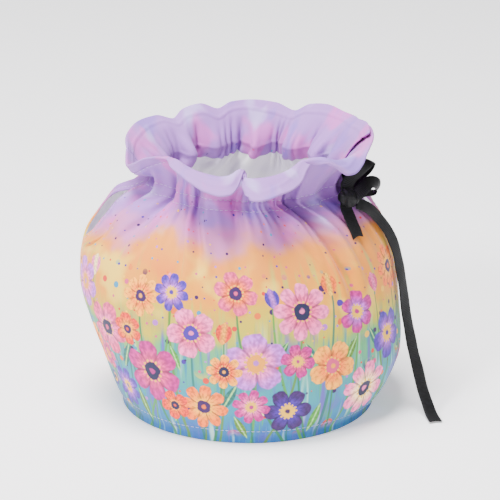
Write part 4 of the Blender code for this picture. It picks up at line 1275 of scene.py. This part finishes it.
@dataclass
class ClothPanel:
    """One printed panel with its half of the ruffle, turned hems and topstitching."""
    name: str
    node: str
    first: float                  # angle of its first side edge
    guides: tuple
    folds: tuple
    ruffle: tuple
    creases: tuple
    flat: tuple[float, float] = (0.290, 0.215)   # cut width and length in metres
    columns: int = 250
    body_steps: int = 5           # rows for each course of the body
    ruffle_rows: int = 46
    seam_gap: float = 0.02        # the two panels are sewn together here
    pleats: float = 13.0
    fine_pleats: float = 31.0
    fine_depth: float = 1.5
    fold_scale: float = 1.7       # thin cloth folds deeper than the padded solid
    body_thick: float = 1.7       # cloth with its thin wadding
    ruffle_thick: float = 1.3     # two layers of cloth
    rim_hem: float = 5.6          # width of the hem turned at the rim
    base_hem: float = 9.0         # width of the lower hem
    edge_hem: float = 4.0         # width of the hems beside the openings
    belly_course: int = 7         # the course that the cloth's flat width is measured along
    make_way: float = 34.0        # degrees beside an opening over which the threads make way for it
    calm: float = 9.0             # degrees beside a side edge over which the folds die out
    fold_lift: float = 0.25       # how much of its push also lifts the cloth
    fold_fade: float = 1.6        # how much sooner than it deepens a fold shows above its foot
    fold_top: float = 158.0       # height where the body's folds end
    ridge: float = 0.42           # height of the ridges beside a fold, as a share of its depth
    ridge_away: float = 2.1       # how far off they run, in half widths of the fold
    crest_turn: float = 0.62      # share of the way from its angle at the neck to that at the rim
    crest_at: float = 0.56        # share of the ruffle's rows below the crest
    neck_pull: float = 2.4        # how long the ruffle keeps the casing's direction
    crest_pull: float = 0.45      # how gently it bends over its crest
    rim_pull: float = 1.05        # how straight it runs out to its rim
    sewn_dent: float = 0.45       # depth of the casing's two sewn lines
    rim_dent: float = 0.55        # depth of the rim's sewn line
    hem_dent: float = 0.25        # depth of the lower hem's sewn line
    sewn_within: float = 0.9      # a side edge nearer than this to the seam's plane is sewn shut
    stitch: float = 2.4           # length of a stitch
    stitch_gap: float = 0.9       # gap between two
    thread_half: float = 0.17     # half the thread's thickness
    stitch_proud: float = 0.10    # how far a stitch stands off the cloth

    def course(self, row: float) -> dict[str, float]:
        """Reads the body's sizes at a whole or part course."""
        numbers = np.arange(len(COURSES))
        return {name: float(curve(row, numbers, [c[k] for c in COURSES]))
                for k, name in enumerate(COURSE_NAMES)}

    def pleat(self, threads: np.ndarray) -> np.ndarray:
        """Reads the uneven gathers, which die out at the panel's edges.

        Args:
            threads: the lengthways threads, by their angle at the casing.
        Returns:
            From -1, a valley, to 1, a ridge, for each thread.
        """
        t = (threads - self.first) / 180.0
        wave = np.sin(2 * math.pi * (self.pleats * t + 0.22 * np.sin(2 * math.pi * 1.7 * t + self.first)))
        swell = 0.78 + 0.22 * np.sin(2 * math.pi * 3.1 * t + 0.6)
        return wave * swell * smooth(t / 0.05) * smooth((1 - t) / 0.05)

    def fold_push(self, angle: np.ndarray, height: np.ndarray, radius: np.ndarray) -> np.ndarray:
        """Sums the troughs of the folds, each with a low ridge on both sides.

        Args:
            angle: degrees round the pot.
            height: height there.
            radius: radius there.
        Returns:
            How far the cloth is pushed out.
        """
        push = np.zeros_like(angle)
        for fold in self.folds:
            row = dict(zip(FOLD_NAMES, fold[5:]))
            rise = (height - row["ends"]) / (FOLD_LEVELS[0] - row["ends"])
            fade = smooth(rise * self.fold_fade)
            depth = row["foot_depth"] + (row["depth"] - row["foot_depth"]) * smooth(rise)
            away = np.radians(angle - level(fold, height)) * radius
            shape = -bell(away, row["half"])
            for side in (-1.0, 1.0):
                shape = shape + self.ridge * bell(away - side * self.ridge_away * row["half"], row["half"])
            push = push + self.fold_scale * fade * depth * shape * (height < self.fold_top)
        return push

    def body_row(self, threads: np.ndarray, row: float) -> np.ndarray:
        """Places one row of the body.

        Args:
            threads: the lengthways threads, by their angle at the casing.
            row: the course, whole or in part.
        Returns:
            A point for each thread.
        """
        size = self.course(row)
        guided = [float(level(guide, size["front_z"])) for guide in self.guides]
        at = curve(threads, [guide[0] for guide in self.guides], guided)
        for end, sign in ((self.first, 1.0), (self.first + 180.0, -1.0)):
            spout = math.sin(math.radians(end)) < 0.0
            gap = max(self.seam_gap, size["opening"] if spout else size["slit"])
            radius, _ = ellipse(np.array(end), size)
            aside = math.degrees(math.asin(gap / float(radius)))
            at = at + sign * aside * (1 - smooth(abs(threads - end) / self.make_way))
        radius, height = ellipse(at, size)
        edge = np.minimum(smooth((threads - self.first) / self.calm),
                          smooth((self.first + 180.0 - threads) / self.calm))
        bend = self.fold_push(at, height, radius) * edge + size["gather"] * self.pleat(threads)
        return polar(radius + bend, at, height + self.fold_lift * bend)

    def ruffle_grid(self, threads: np.ndarray) -> np.ndarray:
        """Places the ruffle from the casing over its crest to its rim.

        Args:
            threads: the lengthways threads, by their angle at the casing.
        Returns:
            Rows of points, the first just above the casing.
        """
        table = np.array(self.ruffle)
        at_rim = table[0, 0] + (table[-1, 0] - table[0, 0]) * (threads - self.first) / 180.0
        start, below = self.body_row(threads, CASING_TOP), self.body_row(threads, CASING_TOP - 1.0)
        crest_r, crest_z, rim_r, rim_z = (curve(at_rim, table[:, 0], table[:, k]) for k in (1, 2, 3, 4))
        at_neck = np.degrees(np.arctan2(start[:, 0], -start[:, 1]))
        at_neck = np.where(at_neck < self.first - 45.0, at_neck + 360.0, at_neck)
        crest = polar(crest_r, at_neck + (at_rim - at_neck) * self.crest_turn, crest_z)
        rim = polar(rim_r, at_rim, rim_z)
        lean, out = (start - below) * self.neck_pull, (rim - start) * self.crest_pull
        away = (rim - crest) * self.rim_pull
        rows = []
        for t in np.linspace(0.0, 1.0, self.ruffle_rows + 1)[1:]:
            if t <= self.crest_at:
                rows.append(bridge(t / self.crest_at, start, lean, crest, out))
            else:
                rows.append(bridge((t - self.crest_at) / (1 - self.crest_at), crest, out, rim, away))
        return np.array(rows)

    def flat_places(self, grid: np.ndarray) -> tuple[np.ndarray, np.ndarray, np.ndarray]:
        """Measures where each point lies on the flat cloth.

        Args:
            grid: rows of points.
        Returns:
            Millimetres across from the first edge, up from the hem, and down from the rim.
        """
        across = distances(grid[self.body_steps * self.belly_course])
        up = np.cumsum(np.linalg.norm(np.diff(grid, axis=0), axis=2), axis=0)
        up = np.concatenate((np.zeros((1, grid.shape[1])), up))
        return np.broadcast_to(across, up.shape), up, up[-1] - up

    def relief(self, across: np.ndarray, up: np.ndarray, down: np.ndarray) -> np.ndarray:
        """Sums the fine shape of the cloth: small pleats at the casing, creases and sewn lines.

        Args:
            across: millimetres across from the first edge.
            up: millimetres up from the hem.
            down: millimetres down from the rim.
        Returns:
            How far each point is raised.
        """
        foot, top = up[self.body_steps * CASING_FOOT], up[self.body_steps * CASING_TOP]
        t = across / across.max()
        uneven = 0.30 * np.sin(2 * math.pi * 4.3 * t + self.first) + 0.16 * np.sin(2 * math.pi * 9.7 * t)
        wave = np.sin(2 * math.pi * (self.fine_pleats * t + uneven))
        swell = 0.62 + 0.38 * np.sin(2 * math.pi * 5.3 * t + 1.2)
        past = np.where(up > top, (up - top) / 11.0, np.where(up < foot, (foot - up) / 13.0, 0.0))
        raised = self.fine_depth * wave * swell * np.exp(-past ** 2)
        raised = raised * smooth(t / 0.03) * smooth((1 - t) / 0.03)
        for crease in self.creases:
            row = dict(zip(CREASE_NAMES, crease))
            run, climb = row["u1"] - row["u0"], row["v1"] - row["v0"]
            long = math.hypot(run, climb)
            share = ((across - row["u0"]) * run + (up - row["v0"]) * climb) / long ** 2
            away = ((across - row["u0"]) * climb - (up - row["v0"]) * run) / long
            ends = smooth((share + 0.12) / 0.35) * smooth((1.12 - share) / 0.35)
            shape = bell(away, row["half"]) - 0.45 * bell(abs(away) - 2.0 * row["half"], row["half"])
            raised = raised - row["depth"] * ends * shape
        raised = raised - self.sewn_dent * (bell(up - foot - 0.6, 0.8) + bell(up - top + 0.4, 0.8))
        raised = raised - self.rim_dent * bell(down - self.hem_line(across), 0.9)
        raised = raised - self.hem_dent * bell(up - self.base_hem, 0.8)
        broad = 0.35 * np.sin(across / 13.0 + 0.8 * np.sin(up / 17.0)) * np.sin(up / 21.0 + 1.0)
        return raised + broad * smooth(up / 12.0) * smooth((foot - up) / 30.0)

    def hem_line(self, across: np.ndarray) -> np.ndarray:
        """Reads how far down from the rim its sewn line runs, wider where the lobes roll over."""
        return self.rim_hem + 1.3 * np.sin(across / 19.0 + 0.5) ** 2

    def normals(self, grid: np.ndarray, passes: int) -> np.ndarray:
        """Reads the outward directions of a grid.

        Args:
            grid: rows of points.
            passes: how many times they are evened out.
        Returns:
            A direction for each point.
        """
        normal = unit(np.cross(np.gradient(grid, axis=1), np.gradient(grid, axis=0)))
        for _ in range(passes):
            padded = np.pad(normal, ((1, 1), (1, 1), (0, 0)), mode="edge")
            normal = unit(normal * 2 + padded[:-2, 1:-1] + padded[2:, 1:-1]
                          + padded[1:-1, :-2] + padded[1:-1, 2:])
        return normal

    def faces_of_cloth(self) -> tuple[np.ndarray, np.ndarray, np.ndarray]:
        """Makes both faces of the cloth.

        Returns:
            Outer grid, inner grid, and the place on the flat cloth of each point.
        """
        threads = np.linspace(self.first, self.first + 180.0, self.columns)
        rows = np.linspace(0.0, CASING_TOP, self.body_steps * CASING_TOP + 1)
        body = np.array([self.body_row(threads, row) for row in rows])
        grid = np.concatenate((body, self.ruffle_grid(threads)))
        for column in (0, -1):
            closed = np.abs(grid[:, column, 1]) < self.sewn_within
            grid[closed, column, 1] = -self.seam_gap if self.first < 0 else self.seam_gap
        across, up, down = self.flat_places(grid)
        normal = self.normals(grid, 3)
        outer = grid + normal * self.relief(across, up, down)[..., None]
        rise = np.arange(len(grid)) / self.body_steps
        # The padded body thins into the ruffle between these courses, and both hems are thicker.
        thick = np.interp(rise, (0.0, 14.0, 16.0), (self.body_thick, self.body_thick, self.ruffle_thick))
        base, rim = smooth((self.base_hem - up) / 0.8), smooth((self.hem_line(across) - down) / 0.8)
        thick = thick[:, None] + 0.45 * base + 0.35 * rim
        lining = self.normals(outer, 6)
        lining[:2, :, 2] = 0.0
        inner = outer - unit(lining) * thick[..., None]
        # Both faces draw together at the side edges.
        for column in (0, -1):
            outer[:, column] -= normal[:, column] * 0.5
            inner[:, column] += normal[:, column] * 0.35
        return outer, inner, np.stack((across, up), axis=-1)

    def build(self, printed: Material, reverse: Material) -> Object:
        """Closes both faces into one thin sheet with rounded hems.

        Args:
            printed: finish of the outside and of the whole ruffle.
            reverse: finish of the body's inside.
        Returns:
            The panel's object.
        """
        outer, inner, places = self.faces_of_cloth()
        rows, columns = outer.shape[:2]
        self.outer, self.places = outer, places
        # Each column is one ring: up the outside, round the rim, down the inside, round the hem.
        rim_mid, rim_half = (outer[-1] + inner[-1]) / 2, (outer[-1] - inner[-1]) / 2
        tip = unit(outer[-1] - outer[-3]) * np.linalg.norm(rim_half, axis=1, keepdims=True)
        round_rim = [rim_mid + rim_half * math.cos(a) + tip * math.sin(a)
                     for a in np.radians((45.0, 90.0, 135.0))]
        ring = np.concatenate((outer, np.array(round_rim), inner[::-1]))
        flat = np.concatenate((places, np.repeat(places[-1:], 3, axis=0), places[::-1]))
        height = len(ring)
        faces, slots = [], []
        for r in range(height):
            following = (r + 1) % height
            inside = r >= rows + 3 + (rows - self.body_steps * CASING_FOOT)
            for c in range(columns - 1):
                faces.append((r * columns + c, r * columns + c + 1, following * columns + c + 1,
                              following * columns + c))
                slots.append(1 if inside and r < height - 1 else 0)
        # A rounded strip closes each side edge.
        middle = []
        for column, toward in ((0, 1), (columns - 1, columns - 2)):
            away = unit(outer[:, column] - outer[:, toward]) * 0.3
            line = (outer[:, column] + inner[:, column]) / 2 + away
            closed = np.abs(outer[:, column, 1]) < self.sewn_within
            line[closed, 1] = np.sign(outer[closed, column, 1]) * 0.06
            middle.append(line)
        base = height * columns
        points = np.concatenate((ring.reshape(-1, 3), *middle))
        flat = np.concatenate((flat.reshape(-1, 2), places[:, 0], places[:, -1]))
        for side, column in ((0, 0), (1, columns - 1)):
            for r in range(rows - 1):
                out_a, out_b = r * columns + column, (r + 1) * columns + column
                in_a, in_b = (height - 1 - r) * columns + column, (height - 2 - r) * columns + column
                mid_a, mid_b = base + side * rows + r, base + side * rows + r + 1
                for quad in ((out_a, out_b, mid_b, mid_a), (mid_a, mid_b, in_b, in_a)):
                    faces.append(quad if side == 0 else quad[::-1])
                    slots.append(0)
            top = [(rows - 1 + k) * columns + column for k in range(5)] + [base + side * rows + rows - 1]
            faces.append(tuple(top) if side == 0 else tuple(top[::-1]))
            foot = (column, base + side * rows, (height - 1) * columns + column)
            faces.append(foot if side == 0 else foot[::-1])
            slots += [0, 0]
        piece = add_object(self.name, points, faces, [printed, reverse], slots=slots, maps=flat)
        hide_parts(self.node)
        LOG.info("%s: %d faces", self.name, len(faces))
        return piece

    def seam_path(self, run: Run) -> np.ndarray:
        """Finds the line on the outside that a row of stitches follows.

        Args:
            run: which row.
        Returns:
            Points along it.
        """
        up = self.places[..., 1]
        numbers = np.arange(len(up))
        if run in (Run.FIRST_EDGE, Run.LAST_EDGE):
            last = run is Run.LAST_EDGE
            order = slice(None, None, -1) if last else slice(None)
            spout = (self.first < 0) != last
            low, high = (9.6, 14.9) if spout else (4.6, 14.9)
            rows = numbers[int(low * self.body_steps):int(high * self.body_steps)]
            path = []
            for r in rows:
                line = self.outer[r, order]
                walked = distances(line)
                path.append([np.interp(self.edge_hem, walked, line[:, k]) for k in range(3)])
            return np.array(path)
        foot, top = up[self.body_steps * CASING_FOOT], up[self.body_steps * CASING_TOP]
        goal = {Run.RIM: up[-1] - self.hem_line(self.places[0, :, 0]), Run.CASING_UPPER: top - 0.4,
                Run.CASING_LOWER: foot + 0.6, Run.HEM: np.full(len(foot), self.base_hem)}[run]
        path = []
        for c in range(2, self.columns - 2):
            path.append([np.interp(goal[c], up[:, c], self.outer[:, c, k]) for k in range(3)])
        return np.array(path)

    def stitches(self, thread: Material) -> Object:
        """Sews every row of topstitching.

        Args:
            thread: the thread's finish.
        Returns:
            One object with all the stitches.
        """
        points, faces = [], []
        for run in Run:
            path = self.seam_path(run)
            walked = distances(path)
            for begin in np.arange(0.5, walked[-1] - self.stitch, self.stitch + self.stitch_gap):
                at = begin + self.stitch * np.linspace(0.0, 1.0, 5)
                line = np.stack([np.interp(at, walked, path[:, k]) for k in range(3)], axis=1)
                way = unit(line[-1] - line[0])
                out = unit(line[2] * (1.0, 1.0, 0.0))
                if run is Run.RIM:
                    out = unit(np.cross(way, (0.0, 0.0, 1.0)) * -1.0 + np.array((0.0, 0.0, -0.5)))
                side = unit(np.cross(way, out))
                out = np.cross(side, way)
                base = len(points)
                # It sinks in at both ends.
                for spot, share in zip(line, (0.35, 0.9, 1.0, 0.9, 0.35)):
                    for turn in range(4):
                        a = math.pi / 2 * turn
                        around = out * math.cos(a) + side * math.sin(a)
                        points.append(spot + around * self.thread_half * share
                                      + out * self.stitch_proud * share)
                for k in range(4):
                    for turn in range(4):
                        a, b = base + k * 4 + turn, base + k * 4 + (turn + 1) % 4
                        faces.append((a, b, b + 4, a + 4))
                faces += [(base + 3, base + 2, base + 1, base), (base + 16, base + 17, base + 18, base + 19)]
        piece = add_object(self.name.replace("cloth", "stitches"), np.array(points), faces, [thread])
        LOG.info("%s: %d faces of thread", piece.name, len(faces))
        return piece


def main() -> None:
    """Builds the studio, the ribbon and the two panels in order."""
    logging.basicConfig(level=logging.INFO, format="%(name)s: %(message)s")
    Studio().build()
    TiedRibbon().build(RibbedRibbon().build())
    reverse, thread = PolyesterReverse().build(), SpunThread().build()
    front = ClothPanel("front_cloth", "front_panel", -90.0,
                       GUIDES_FRONT, FOLDS_FRONT, RUFFLE_FRONT, CREASES_FRONT)
    back = ClothPanel("back_cloth", "back_panel", 90.0,
                      GUIDES_BACK, FOLDS_BACK, RUFFLE_BACK, CREASES_BACK)
    for panel, finish in ((front, PrintedPolyester("printed_polyester_front")),
                          (back, PrintedPolyester("printed_polyester_back", shift=118.0))):
        cloth = panel.build(finish.build(), reverse)
        stitches = panel.stitches(thread)


if __name__ == "__main__":
    main()
